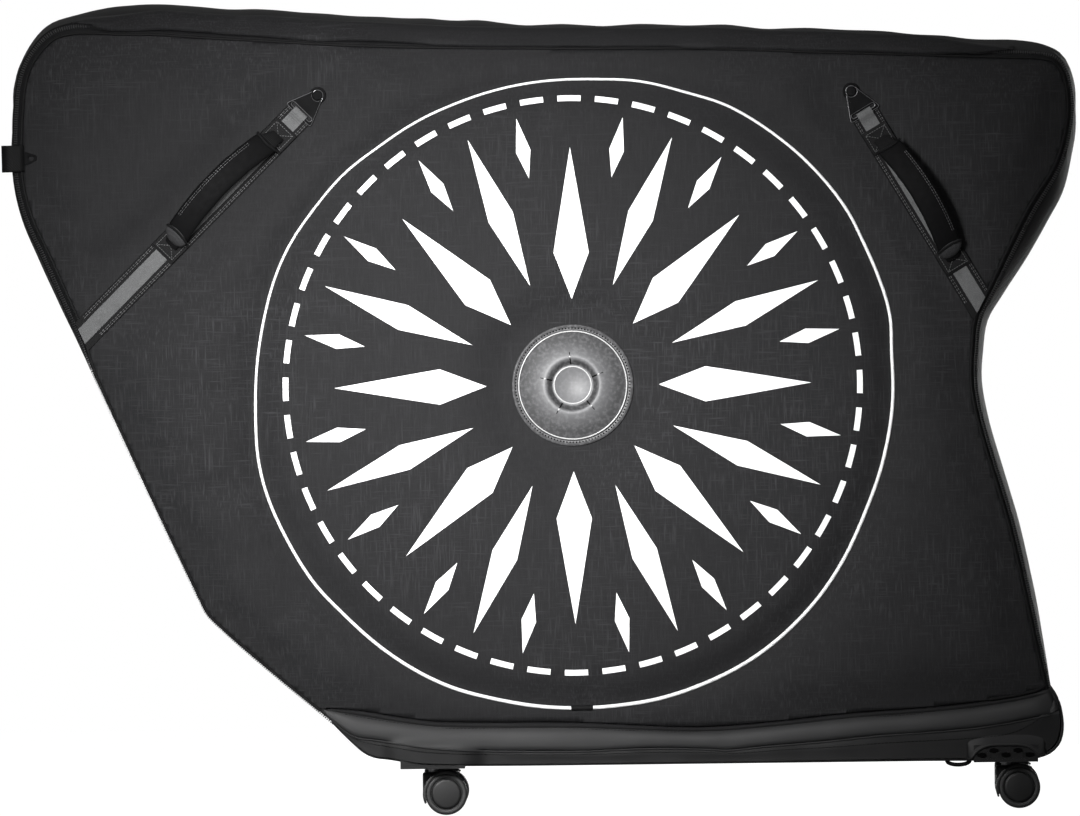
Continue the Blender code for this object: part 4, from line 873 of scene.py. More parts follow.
# Painted highlight: near-white for the hub cover's bead, its centre disc's rim and the dots beside
# its slits, where light catches those edges.
hub_painted_highlight = plain("hub_painted_highlight", (0.72, 0.72, 0.72), 0.25, 0.4)
black_metal = plain("black_metal", (0.0034, 0.0034, 0.0037), 0.66, mottle=70.0, shine=0.06)
caster_plastic = plain("caster_plastic", (0.0060, 0.0060, 0.0063), 0.42, mottle=60.0, shine=0.35)
skirt = plain("mount_plastic", (0.0062, 0.0062, 0.0065), 0.50, mottle=60.0, shine=0.18)
wheel_cap = plain("wheel_cap", (0.0028, 0.0028, 0.0030), 0.42, mottle=50.0, shine=0.3)
rubber = plain("wheel_rubber", (0.0090, 0.0090, 0.0094), 0.55, mottle=80.0)
coil_plastic = plain("zip_coil", (0.030, 0.030, 0.031), 0.30)
board = plain("board_plastic", (0.045, 0.045, 0.046), 0.55)
# Painted shade: near-black for the hollows of the hub cover's holes and slits and of the front
# plate's cells, and for the tub's stitch lines, black thread partly in painted shade.
painted_shade_black = plain("painted_shade_black", (0.0012, 0.0012, 0.0012), 0.8, shine=0.05)
print("finishes:", len(bpy.data.materials))


# %% Tools for cords, straps, plates and turned parts
def tube(points, radius, sides=10, closed=False, up=(0, 1, 0)):
    """A cord along points. Its section keeps one side turned to the up direction."""
    points = [Vector(point) for point in points]
    count = len(points)
    rows = []
    for i, here in enumerate(points):
        before = points[i - 1] if closed or i else here
        after = points[(i + 1) % count] if closed or i < count - 1 else here
        along = (after - before).normalized()
        across = along.cross(Vector(up)).normalized()
        over = across.cross(along)
        wide = radius(i / count) if callable(radius) else radius
        turns = [2 * pi * step / sides for step in range(sides)]
        rows.append([here + (across * cos(t) + over * sin(t)) * wide for t in turns])
    if closed:
        rows.append([point.copy() for point in rows[0]])
    return sweep(rows, ring=True, capped=not closed)


def strap(matrix, run, width, thickness):
    """Webbing of one thickness along a run of (x, z) points in a frame."""
    half, lip = width / 2, thickness * 0.35
    section = ((-half, 0.5), (lip - half, 1), (0, 1), (half - lip, 1), (half, 0.5),
               (half - lip, 0), (0, 0), (lip - half, 0))
    rows = []
    for i, (x, z) in enumerate(run):
        x0, z0 = run[max(i - 1, 0)]
        x1, z1 = run[min(i + 1, len(run) - 1)]
        length = sqrt((x1 - x0) ** 2 + (z1 - z0) ** 2)
        up_x, up_z = -(z1 - z0) / length, (x1 - x0) / length
        rows.append([matrix @ Vector((x + up_x * t * thickness, y, z + up_z * t * thickness))
                     for y, t in section])
    return sweep(rows, ring=True)


def straight(start, end, level, step=0.004):
    parts = max(1, round(abs(end - start) / step))
    return [(start + (end - start) * i / parts, level) for i in range(parts + 1)]


def turned(profile, segments, matrix):
    """A solid or shell turned about Z from (radius, height) points."""
    bm = bmesh.new()
    verts = [bm.verts.new((r, 0, z)) for r, z in profile]
    edges = [bm.edges.new(pair) for pair in zip(verts, verts[1:])]
    bmesh.ops.spin(bm, geom=verts + edges, cent=(0, 0, 0), axis=(0, 0, 1), angle=2 * pi,
                   steps=segments, use_merge=True)
    bmesh.ops.remove_doubles(bm, verts=bm.verts[:], dist=1e-6)
    bmesh.ops.transform(bm, matrix=matrix, verts=bm.verts[:])
    return bm


def rounded(corners, radius, steps=5):
    """A closed outline with each corner replaced by an arc-like curve."""
    points = []
    corners = [Vector(corner) for corner in corners]
    for before, here, after in zip([corners[-1], *corners], corners, [*corners[1:], corners[0]]):
        a = here + (before - here).normalized() * radius
        b = here + (after - here).normalized() * radius
        for step in range(steps + 1):
            t = step / steps
            points.append(a * (1 - t) ** 2 + here * 2 * t * (1 - t) + b * t * t)
    return points


def plate(loops, low, high, edge, matrix, rim_highlight_index=-1):
    """A flat plate: the first loop is its outline, the others are its holes."""
    bm = bmesh.new()
    edges = []
    for loop in loops:
        verts = [bm.verts.new((x, y, low)) for x, y in loop]
        edges += [bm.edges.new(pair) for pair in zip(verts, verts[1:] + verts[:1])]
    bmesh.ops.triangle_fill(bm, use_beauty=True, use_dissolve=False, edges=edges)
    made = bmesh.ops.extrude_face_region(bm, geom=bm.faces[:])["geom"]
    lifted = [item for item in made if isinstance(item, bmesh.types.BMVert)]
    bmesh.ops.translate(bm, vec=(0, 0, high - low), verts=lifted)
    bmesh.ops.recalc_face_normals(bm, faces=bm.faces[:])
    rims = [e for e in bm.edges if len(e.link_faces) == 2
            and e.calc_face_angle() > radians(60)]
    # The bevel's faces may take another material: the painted highlight of a rim.
    bmesh.ops.bevel(bm, geom=rims, affect="EDGES", offset=edge, segments=2, profile=0.5,
                    material=rim_highlight_index)
    bmesh.ops.transform(bm, matrix=matrix, verts=bm.verts[:])
    return bm


def circle(radius, steps=32, centre=(0, 0)):
    return [Vector((centre[0] + radius * cos(2 * pi * i / steps),
                    centre[1] + radius * sin(2 * pi * i / steps))) for i in range(steps)]


def joined(*parts):
    """Puts several bmeshes into one."""
    whole = bmesh.new()
    for part in parts:
        mesh = bpy.data.meshes.new("part")
        part.to_mesh(mesh)
        part.free()
        whole.from_mesh(mesh)
        bpy.data.meshes.remove(mesh)
    return whole


def resample(points, pitch):
    """Points at even distances along a line of points."""
    points = [Vector(point) for point in points]
    spots, left = [], pitch / 2
    for a, b in zip(points, points[1:]):
        length = (b - a).length
        while left < length:
            spots.append((a.lerp(b, left / length), (b - a).normalized()))
            left += pitch
        left -= length
    return spots


def stitches(lines, pitch=0.0042, length=0.0030, radius=0.00038):
    """Short capsules of thread in rows: the needle's pitch is the same everywhere."""
    bm = bmesh.new()
    for line in lines:
        for spot, along in resample(line, pitch):
            turn = along.to_track_quat("Z", "Y").to_matrix().to_4x4()
            matrix = Matrix.Translation(spot) @ turn
            bmesh.ops.create_cone(bm, cap_ends=True, segments=6, radius1=radius,
                                  radius2=radius * 0.6, depth=length, matrix=matrix)
    return bm


def panel_matrix(x, z, side, along=(1, 0)):
    """Frame on a side panel: Z out of the face, X along a direction of the side view."""
    sign = SIDES[side]
    out = Vector((0, sign, SIDE_LEAN)).normalized()
    axis = Vector((along[0], -sign * SIDE_LEAN * along[1], along[1])).normalized()
    matrix = Matrix((axis, out.cross(axis), out)).transposed().to_4x4()
    matrix.translation = (x, sign * half_width(z), z)
    return matrix


print("tools ready")

# %% [markdown]
# ## Rain flap, zip and edge binding
#
# The zip runs round the near panel. Its two tapes lie in a slanting band between the
# panel's bound edge and the gusset, with a coil of small teeth down the middle. Along the
# top a flap is sewn behind the zip and hangs over it; its free edge is slightly wavy.

# %% Zip
COIL_PITCH = 0.0026
COIL_WIDTH = 0.0062
COIL_HEIGHT = 0.0017
TAPE_WALL = 0.0012
GUSSET_SEAM = 0.0168
BAG_MIDDLE = (0.03, 0.45)


def zip_lines(station):
    """Three points across the zip: the panel's edge, the coil and the gusset's edge."""
    near = station.point(0.001 - zip_inset(station), 0.0012)
    back = station.point(station.rise(GUSSET_SEAM) + 0.0005, GUSSET_SEAM)
    return near, near.lerp(back, 0.5), back


lines = [zip_lines(station) for station in stations]
middle_run = [line[1] for line in lines]
for name, body, first, shares in (
        ("door_zip_tape", "door", 0, (0.0, 0.35, 0.7, 0.97)),
        ("gusset_zip_tape", "bag_body", 1, (0.03, 0.3, 0.65, 1.0))):
    rows = [[line[first].lerp(line[first + 1], share) for share in shares] for line in lines]
    tape = add_piece(sweep(rows), name + "_cloth", tape_web, body, [name])
    thicken(tape, TAPE_WALL)

coil_run = resample(middle_run, COIL_PITCH)
across_run = [(line[2] - line[0]).normalized() for line in lines]
tooth = Matrix.Diagonal((COIL_PITCH * 0.56, COIL_WIDTH * 0.46, COIL_HEIGHT, 1))
for half, body, shift in (("door_coil", "door", -0.25), ("gusset_coil", "bag_body", 0.25)):
    bm = bmesh.new()
    place = 0
    for spot, along in coil_run:
        while (place < len(middle_run) - 2 and (middle_run[place + 1] - spot).length
               < (middle_run[place] - spot).length):
            place += 1
        across = across_run[place]
        out = along.cross(across).normalized()
        if out.dot(Vector((spot.x - BAG_MIDDLE[0], 0, spot.z - BAG_MIDDLE[1]))) < 0:
            out = -out
        matrix = Matrix((along, across, out)).transposed().to_4x4()
        matrix.translation = spot + across * shift * COIL_WIDTH + out * TAPE_WALL
        bmesh.ops.create_cube(bm, size=1.0, matrix=matrix @ tooth)
    add_piece(bm, half, coil_plastic, body, flat=True, merge=0)

# %% Edge binding
BORDERS = {"near": near_border, "far": far_border}
BINDING_RADIUS = 0.0017
for side, border in BORDERS.items():
    top = [p for p in border if p[1] > level_on(rim_run, p[0]) - 0.002 or p[0] < -0.25]
    line = [(x, SIDES[side] * (half_width(z) - 0.0010), z) for x, z in top[:len(stations)]]
    add_piece(tube(line, BINDING_RADIUS), side + "_edge_binding", binding, BODY_OF[side])
print("bindings sewn")

# %% Rain flap
FLAP_ENDS = (-0.440 * BAG_LENGTH, 0.442 * BAG_LENGTH)
FLAP_WALL = 0.0012
FLAP_PROFILE = ((-0.0030, -0.0035), (-0.0036, -0.0004), (-0.0010, 0.0038), (0.0050, 0.0092),
                (0.0110, 0.0124), (0.0180, 0.0124), (0.0260, 0.0084), (0.0320, 0.0036),
                (0.0380, 0.0014))

top_run = [s for s in stations if FLAP_ENDS[0] < s.seam.x < FLAP_ENDS[1] and s.seam.y > 0.75]
rows = []
for station in top_run:
    x = station.seam.x
    to_end = min(x - FLAP_ENDS[0], FLAP_ENDS[1] - x)
    full = min(1.0, 0.15 + to_end / 0.12)
    wave = noise.noise((x * 9, 3.1, 0)) * 0.0022 + noise.noise((x * 31, 7.7, 0)) * 0.0012
    row = []
    for number, (depth, lift) in enumerate(FLAP_PROFILE):
        free = max(0.0, 1 - number / 4)
        depth += (0.030 - depth) * 0.97 * max(0.0, 1 - to_end / 0.05) ** 2 * free
        rise = station.rise(max(depth, 0.0))
        row.append(station.point(rise + lift * (full if lift > 0 else 1) + wave * free
                                 + noise.noise((x * 14, number * 0.5, 5)) * 0.0016, depth))
    rows.append(row)
flap = add_piece(sweep(rows), "rain_flap_cloth", cloth, "bag_body", ["rain_flap"])
thicken(flap, FLAP_WALL)
print("flap", len(flap.data.polygons), "faces")

# %% [markdown]
# ## Piped rings
#
# A white cord in a ring shows where the wheel pocket is sewn on the inside. Its two ends
# meet at the bottom under a short black sleeve.

# %% Piping
SLEEVE_ANGLES = (radians(268.2), radians(272.2))
CORD_RADIUS, SLEEVE_RADIUS = 0.0021, 0.0030
CORD_STEPS = 240


def ring_points(low, high, count, side):
    """Points along the ring between two angles, just out of the swollen panel."""
    spots = []
    for angle in (low + (high - low) * step / count for step in range(count + 1)):
        radius = float(ring_radius(np.array(angle)))
        x, z = RING_CENTRE[0] + radius * cos(angle), RING_CENTRE[1] + radius * sin(angle)
        lift = float(swelling(np.array([x]), np.array([z]), BORDERS[side])[0])
        spots.append(Vector((x, SIDES[side] * (half_width(z) + lift + 0.0006), z)))
    return spots


def ring_thickness(share):
    """The cord sinks deeper into its seam at the upper left."""
    thin = 0.35 * (1 + cos(radians(share * 360 - 115))) / 2
    return CORD_RADIUS * (1 - thin)


for side, body in BODY_OF.items():
    spots = ring_points(0, 2 * pi, CORD_STEPS, side)[:-1]
    add_piece(tube(spots, ring_thickness, closed=True), side + "_ring_cord", cord, body,
              [side + "_piping"])
    add_piece(tube(ring_points(*SLEEVE_ANGLES, 6, side), SLEEVE_RADIUS, 12),
              side + "_ring_sleeve", binding, body)
print("rings done")

# %% [markdown]
# ## Base tub
#
# Three lines run from the nose to the front end: the rim, a second seam and the foot. The
# skin is a grid between them, carried under the bag and up the far side. Both seams pull
# the cloth in and the band between them bulges.

# %% Tub
TUB_FOOT = (*FOOT, (0.5730, 0.1000), (0.5690, 0.1190), (0.5596, 0.1335))
TUB_BELLY = (*BELLY, (0.5700, 0.1100))
TUB_STATIONS = 150
TUB_WALL, TUB_CORD, SEAM_CORD = 0.0022, 0.0019, 0.0010
REAR_MOUNT, REAR_MOUNT_REACH, MOUNT_SKIRT = -0.1319, 0.056, 0.0068
ARCH_MIDDLE, ARCH_BLEND = 0.5100, 0.026
UPPER = ((0.0, -0.0016), (0.03, 0.0014), (0.07, 0.0024), (0.12, 0.0016), (0.16, 0.0005),
         (0.21, 0.0012), (0.32, 0.0026), (0.48, 0.0034), (0.66, 0.0036), (0.82, 0.0034),
         (0.93, 0.0030), (0.975, 0.0022), (1.0, -0.0006))
LOWER = ((0.02, -0.0016), (0.06, -0.0008), (0.14, 0.0002), (0.30, 0.0006), (0.50, 0.0002),
         (0.70, -0.0014), (0.84, -0.0036), (0.94, -0.0066))
UNDER = (0.0100, 0.0180, 0.0400, 0.0700, 0.1000, 0.1250)


def evenly(points, count):
    """The given number of points at even distances along a smooth line."""
    run = smooth_run(points, 0.004)
    lengths = [0.0]
    for a, b in zip(run, run[1:]):
        lengths.append(lengths[-1] + (b - a).length)
    spots, place = [], 0
    for step in range(count):
        target = lengths[-1] * step / (count - 1)
        while place < len(run) - 2 and lengths[place + 1] < target:
            place += 1
        span = lengths[place + 1] - lengths[place]
        spots.append(run[place].lerp(run[place + 1], (target - lengths[place]) / span))
    return spots


def over_mount(x, z):
    """The cloth goes over the rear plate's skirt; it stays behind the front one."""
    along = max(0.0, 1 - (abs(x - REAR_MOUNT) / REAR_MOUNT_REACH) ** 4)
    high = min(1.0, max(0.0, (z - 0.0545) / 0.003)) * min(1.0, max(0.0, (0.098 - z) / 0.020))
    return MOUNT_SKIRT * along * high


def tub_side(spots):
    """Points down one side of the tub at a station: rim, second seam, foot."""
    rim, belly, foot = spots
    scale = min(1.0, (rim - foot).length / 0.030)
    row = []
    for a, b, table in ((rim, belly, UPPER), (belly, foot, LOWER)):
        for share, bulge in table:
            p = a.lerp(b, share)
            crease = noise.noise((p.x * 16, p.y * 40, 2.5)) * 0.0006
            crease += noise.noise((p.x * 60, p.y * 25, 9.5)) * 0.0002
            front = min(1.0, max(0.0, 2 - abs(p.x - ARCH_MIDDLE) / ARCH_BLEND))
            front = front if p.y < 0.075 else 0.0
            calm = min(1.0, share * 8, (1 - share) * 8 + 0.15)
            out = bulge + crease * calm
            out = out * (1 - front) - 0.0008 * front
            out = max(out * scale, over_mount(p.x, p.y) * scale)
            row.append((p.x, half_width(p.y) + out, p.y))
    return row


tub_lines = [evenly(line, TUB_STATIONS) for line in (RIM, TUB_BELLY, TUB_FOOT)]
rows = []
for spots in zip(*tub_lines):
    foot = spots[2]
    under = [(foot.x, half_width(foot.y) - inset, foot.y + 0.0002) for inset in UNDER]
    half = tub_side(spots) + under
    rows.append([(x, -y, z) for x, y, z in half] + half[::-1])
tub = add_piece(sweep(rows), "tub_cloth", coated, "bag_body", ["base_tub"])
thicken(tub, TUB_WALL)
# Faces below the second seam take the darker cloth: painted shade.
tub.data.materials.append(coated_low_shade)
for face in tub.data.polygons:
    if face.center.z < level_on(belly_run, face.center.x) - 0.0008:
        face.material_index = 1

for side, sign in SIDES.items():
    edge = [(p.x, sign * (half_width(p.y) - 0.0048), p.y + 0.0006) for p in tub_lines[2]]
    add_piece(tube(edge[3:], TUB_CORD, 8), side + "_tub_piping", coated, "bag_body")
    seam = [(p.x, sign * (half_width(p.y) + 0.0010 + over_mount(p.x, p.y)), p.y - 0.0012)
            for p in tub_lines[1]]
    add_piece(tube(seam[4:-2], SEAM_CORD, 8), side + "_tub_seam_cord", coated, "bag_body")
    rows = [[], []]
    for rim, belly, foot in zip(*tub_lines):
        if (rim - foot).length > 0.020 and rim.x < 0.556:
            for row, p in zip(rows, (rim.lerp(belly, 0.20), belly.lerp(foot, 0.30))):
                row.append((p.x, sign * (half_width(p.y) + 0.0008 + over_mount(p.x, p.y)), p.y))
    # The tub's stitch lines are near-black: black thread with painted shade in its stitch holes.
    add_piece(stitches(rows), side + "_tub_stitches", painted_shade_black, "bag_body",
              flat=True, merge=0)
print("tub", len(tub.data.polygons), "faces")

# %% Cloth edge over the front plate's cells
ARCH_HALF, ARCH_FOOT, ARCH_RISE = 0.0390, 0.0566, 0.0154
EDGE_TOP, EDGE_WALL, HEM_RADIUS = 0.0870, 0.0010, 0.0012
CELLS = ((0.4830, 0.0605), (0.4965, 0.0655), (0.5100, 0.0605), (0.5235, 0.0655), (0.5370, 0.0605))
CELL_SIZE = (0.0058, 0.0030, 0.0004)
CELL_FACE = 0.1539

for side, sign in SIDES.items():
    rows = []
    for x in np.linspace(0.4660, 0.5540, 32):
        t = abs(x - ARCH_MIDDLE) / ARCH_HALF
        low = max(ARCH_FOOT + ARCH_RISE * max(0.0, 1 - t ** 4), level_on(FOOT, x) + 0.0006)
        near_plate = min(1.0, max(0.0, (1.17 - t) / 0.17))
        row = []
        for share in (step / 8 for step in range(9)):
            z = low + (EDGE_TOP - low) * share
            out = 0.0062 * near_plate * (1 - share) ** 1.4 - 0.0012 * share
            row.append((x, sign * (half_width(z) + out), z))
        rows.append(row)
    hem = [row[0] for row in rows]
    edge = add_piece(sweep(rows), side + "_plate_edge_cloth", coated, "bag_body")
    thicken(edge, EDGE_WALL)
    add_piece(tube(hem, HEM_RADIUS, 8), side + "_plate_edge_hem", coated, "bag_body")
    # The cells are thin near-black prisms: painted shade inside the front plate's honeycomb.
    cells = bmesh.new()
    for x, z in CELLS:
        place = Matrix.Translation((x, sign * CELL_FACE, z)) @ Matrix.Rotation(pi / 2, 4, "X")
        bmesh.ops.create_cone(cells, cap_ends=True, segments=6, radius1=1.0, radius2=1.0, depth=1.0,
                              matrix=place @ Matrix.Diagonal((*CELL_SIZE, 1)))
    add_piece(cells, side + "_plate_cells", painted_shade_black, "bag_body", flat=True,
              merge=0)
print("cells in each front plate:", len(CELLS))

# %% [markdown]
# ## Straps, grips, hook plates and studs
#
# Each side carries two lifting straps. A black backing with stitched edges lies on the
# panel, a grey band runs down its middle, two boxed patches hold the ends of a padded
# grip, and a steel plate at the top buttons over a stud. Everything is laid out in the
# strap's own frame: X runs down the strap and Z stands out of the panel.

# %% Sizes of a strap
ENDS = ("rear", "front")
GRIP_RUNS = ((0.063, 0.235), (0.062, 0.2195))
BACKING_WIDTH, BACKING_WALL, BACKING_TOP = 0.033, 0.0013, 0.0016
BAND_WIDTH, BAND_WALL = 0.0172, 0.0009
PATCH_LENGTH, PATCH_WIDTH, PATCH_TOP = 0.028, 0.0315, 0.0040
PATCH_SEAM, PATCH_SEAM_SIDE = 0.0035, 0.0122
OVER_SEAM = 0.030
HOOK_BAR_PLACE = 0.0295
HOOK_LEVEL, HOOK_WALL = 0.0044, 0.002
GRIP_REACH, GRIP_REST, GRIP_LEAN = 0.036, 0.0086, 0.010
SLEEVE_START, SLEEVE_SHARE, SLEEVE_STEPS = 0.075, 0.85, 40
SLEEVE_WIDTH, SLEEVE_THICK = 0.0285, 0.0092
CAP_SIZE = (0.0108, 0.0146, 0.0046, 1)
LOOP_RUN = (
    (0.0560, 0.0017), (0.0440, 0.0016), (0.0340, 0.0015), (0.0285, 0.0015), (0.0262, 0.0020),
    (0.0250, 0.0040), (0.0256, 0.0062), (0.0276, 0.0075), (0.0312, 0.0075), (0.0342, 0.0060),
    (0.0378, 0.0038), (0.0428, 0.0028), (0.0560, 0.0027),
)
STUD_PROFILE = (
    (0, 0.0003), (0.0095, 0.0003), (0.0095, 0.0026), (0.0090, 0.0031), (0.0055, 0.0031),
    (0.0055, 0.0066), (0.0049, 0.0073), (0.0030, 0.0075), (0, 0.0075),
)


def cut_at_seam(bm, number):
    """Trims a strap where the panel's edge binding covers its end."""
    x, z = STRAP_ENDS[number]
    station = min(stations, key=lambda s: (s.seam.x - x) ** 2 + (s.seam.y - z) ** 2)
    edge = station.seam - station.out * 0.0040
    geometry = bm.verts[:] + bm.edges[:] + bm.faces[:]
    bmesh.ops.bisect_plane(bm, geom=geometry, dist=1e-7, plane_co=(edge.x, 0, edge.y),
                           plane_no=(station.out.x, 0, station.out.y), clear_outer=True)
    bmesh.ops.holes_fill(bm, edges=[e for e in bm.edges if e.is_boundary], sides=0)
    return bm


def build_strap(name, number, body, matrix, length):
    """The backing, the grey band with its loop round the plate's bar, and two patches."""
    def webbing_piece(bm, label, finish, nodes=()):
        piece = add_piece(bm, f"{name}_{label}", finish, body, nodes)

    def sewn(lines, label, *size):
        lines = [[matrix @ Vector(point) for point in line] for line in lines]
        add_piece(stitches(lines, *size), f"{name}_{label}", thread, body,
                  flat=True, merge=0)

    backing = strap(matrix, straight(0.028, length + OVER_SEAM, 0.0003), BACKING_WIDTH,
                    BACKING_WALL)
    webbing_piece(cut_at_seam(backing, number), "backing", black_web,
                  [name])
    sewn([[(x, edge * (BACKING_WIDTH / 2 - inset), BACKING_TOP + 0.0001)
           for x in np.arange(0.030, length - 0.014, 0.01)]
          for edge in (-1, 1) for inset in (0.0022, 0.0042)],
         "edge_stitches", 0.0040, 0.0026, 0.00045)
    run = [tuple(point) for point in smooth_run(LOOP_RUN, 0.002)]
    webbing_piece(strap(matrix, run, BAND_WIDTH, -0.0008), "loop", grey_web)
    run = [(x, 0.0016 + 0.0005 * noise.noise((x * 60, number, 3)) ** 2)
           for x in np.arange(0.056, length + OVER_SEAM, 0.004)]
    webbing_piece(cut_at_seam(strap(matrix, run, BAND_WIDTH, BAND_WALL), number), "band",
                  grey_web)
    for index, middle in enumerate(GRIP_RUNS[number], 1):
        start, end = middle - PATCH_LENGTH / 2, middle + PATCH_LENGTH / 2
        run = [(start, 0.0017), (start + 0.002, 0.0025),
               *straight(start + 0.004, end - 0.004, 0.0027), (end - 0.002, 0.0025),
               (end, 0.0017)]
        webbing_piece(strap(matrix, run, PATCH_WIDTH, BACKING_WALL), f"patch_{index}",
                      black_web)
        a, b, c, top = start + PATCH_SEAM, end - PATCH_SEAM, PATCH_SEAM_SIDE, PATCH_TOP + 0.0003
        box = [(a, -c, top), (b, -c, top), (b, c, top), (a, c, top), (a, -c, top)]
        sewn([box, [box[0], box[2]], [box[3], box[1]]], f"box_{index}", 0.0031, 0.0021, 0.00042)


def build_grip(name, number, side, matrix):
    """A padded sleeve that arches out from one patch to the other."""
    first, second = GRIP_RUNS[number]
    lean = GRIP_LEAN * SIDES[side] * (-1 if number else 1)

    def spine(share):
        arch = max(0.0, sin(pi * share)) ** 0.8
        return Vector((first + (second - first) * share, lean * arch,
                       GRIP_REST + (GRIP_REACH - GRIP_REST) * arch))

    def ahead_and_up(share):
        ahead = (spine(min(1, share + 0.01)) - spine(max(0, share - 0.01))).normalized()
        return ahead, ahead.cross(Vector((0, 1, 0))).normalized()

    def ring(share, wide, thick, sides=24):
        up = ahead_and_up(share)[1]
        points = []
        for t in (2 * pi * step / sides for step in range(sides)):
            c, s = cos(t), sin(t)
            y = wide / 2 * abs(c) ** 0.75 * (1 if c > 0 else -1)
            z = thick / 2 * abs(s) ** 0.9 * (1 if s > 0 else -1)
            points.append(matrix @ (spine(share) + Vector((0, y, 0)) + up * z))
        return points

    def swell(share):
        return 0.5 + 0.5 * min(1, 2.2 * sin(pi * share))

    necks = [sweep([ring(s, 0.0160 + 0.006 * min(1, min(s, 1 - s) / 0.08), 0.0026, 12)
                    for s in shares], ring=True)
             for shares in ((0.0, 0.02, 0.05, 0.08, 0.11), (0.89, 0.92, 0.95, 0.98, 1.0))]
    necks = add_piece(joined(*necks), name + "_necks", black_web, None)
    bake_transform(necks)
    rows = []
    shares = [SLEEVE_START + SLEEVE_SHARE * step / SLEEVE_STEPS
              for step in range(SLEEVE_STEPS + 1)]
    for step, share in enumerate(shares):
        end = min(step, SLEEVE_STEPS - step) / 2.0
        full = min(1.0, sqrt(max(0.0, 1 - (1 - min(1.0, end)) ** 2)) + 0.15)
        pinch = 1 + 0.03 * noise.noise((share * 14, number, 2.7))
        rows.append(ring(share, SLEEVE_WIDTH * (0.90 + 0.10 * full) * pinch,
                         SLEEVE_THICK * swell(share) * full))
    sleeve = add_piece(sweep(rows, ring=True), name + "_sleeve", neoprene, name,
                       [name])
    seams = []
    for inset in (0.0030, 0.0052):
        y = (-1 if lean < 0 else 1) * (0.0142 - inset)
        c = (abs(y) / (SLEEVE_WIDTH / 2)) ** (1 / 0.75)
        rise = SLEEVE_THICK / 2 * sqrt(1 - c * c) ** 0.9
        seams.append([matrix @ (spine(share) + Vector((0, y, 0))
                                + ahead_and_up(share)[1] * (rise * swell(share) + 0.0002))
                      for share in shares[5:36]])
    add_piece(stitches(seams, 0.0036, 0.0024, 0.0004), name + "_stitches", thread, name,
              flat=True, merge=0)
    ahead = (spine(0.93) - spine(0.91)).normalized()
    up = ahead.cross(Vector((0, 1, 0)))
    turn = Matrix((ahead, Vector((0, 1, 0)), up)).transposed().to_4x4()
    turn.translation = spine(0.925) + up * 0.0008
    cap = bmesh.new()
    bmesh.ops.create_uvsphere(cap, u_segments=28, v_segments=14, radius=1.0,
                              matrix=matrix @ turn @ Matrix.Diagonal(CAP_SIZE))
    add_piece(cap, name + "_cap", cap_cloth, name)
    for label, share, bow in (("rib", 0.085, 0.0035), ("lip", 0.915, -0.0035)):
        ahead, up = ahead_and_up(share)
        points = [matrix @ (spine(share) + Vector((0, t * 0.0150, 0))
                            + up * 0.0046 * sqrt(1 - t * t * 0.9) + ahead * bow * (1 - t * t))
                  for t in (-1 + step / 8 for step in range(17))]
        add_piece(tube(points, 0.0016, 8, up=(0, 0, 1)), f"{name}_{label}", black_web, name)


def build_hook(name, stud, body, matrix):
    """The triangle plate: a ring over the stud, a slot for the band, rounded rims painted bright as
    a highlight.
    """
    back = HOOK_BAR_PLACE + 0.00175
    tip = back - 0.0345
    outline = rounded([(back, -0.0195), (back, 0.0195), (tip, 0.0055), (tip, -0.0055)], 0.0045)
    slot = rounded([(0.02325, -0.0145), (0.02775, -0.0145), (0.02775, 0.0145),
                    (0.02325, 0.0145)], 0.0020, 4)
    bm = plate([outline, circle(0.0064), slot], HOOK_LEVEL - HOOK_WALL / 2,
               HOOK_LEVEL + HOOK_WALL / 2, 0.0006, matrix, 1)
    steel = add_piece(bm, name + "_steel", black_metal, name, [name],
                      smooth_deg=20)
    # The bevelled rims get the painted highlight steel.
    steel.data.materials.append(rim_highlight_steel)
    add_piece(turned(STUD_PROFILE, 32, matrix), stud + "_steel", black_metal, body,
              [stud], smooth_deg=35)


for side, body in BODY_OF.items():
    for number, end in enumerate(ENDS):
        (x0, z0), (x1, z1) = STUDS[number], STRAP_ENDS[number]
        length = sqrt((x1 - x0) ** 2 + (z1 - z0) ** 2)
        matrix = panel_matrix(x0, z0, side, ((x1 - x0) / length, (z1 - z0) / length))
        name = f"{side}_{end}_"
        build_strap(name + "strap", number, body, matrix, length)
        build_grip(name + "grip", number, side, matrix)
        build_hook(name + "hook_plate", name + "stud", body, matrix)
print("straps and grips:", len(BODY_OF) * len(ENDS))

# %% [markdown]
# ## Hub covers
#
# The moulded cover over each wheel hub is turned: a thin flange, a bead, a dome and
# a dished centre. Near-white cords on the bead and on the centre's rim, and small dots
# beside the slits, are painted highlights. A ring of small holes runs along the flange,
# and five slits cross the slope to the centre disc; both are thin near-black discs and
# bars, painted shade inside them.

# %% Hub covers
HUB_PROFILE = (
    (0.0680, 0.0000), (0.0680, 0.0016), (0.0674, 0.0023), (0.0662, 0.0025), (0.0656, 0.0018),
    (0.0625, 0.0018), (0.0618, 0.0028), (0.0612, 0.0040), (0.0604, 0.0045), (0.0596, 0.0041),
    (0.0590, 0.0034), (0.0570, 0.0046), (0.0520, 0.0068), (0.0450, 0.0100), (0.0390, 0.0126),
    (0.0340, 0.0144), (0.0310, 0.0149), (0.0290, 0.0144), (0.0268, 0.0122), (0.0245, 0.0098),
    (0.0232, 0.0090), (0.0222, 0.0088), (0.0210, 0.0092), (0.0204, 0.0090), (0.0196, 0.0084),
    (0.0000, 0.0084),
)
SLITS_DEG = (95, 22, -49, -120, 167)
BEADS = (("bead", 0.0604, 0.0041), ("rim", 0.0207, 0.0091))
BEAD_WALL = 0.0007
HOLE_COUNT, HOLE_PLACE = 112, (0.0640, 0, 0.0018)
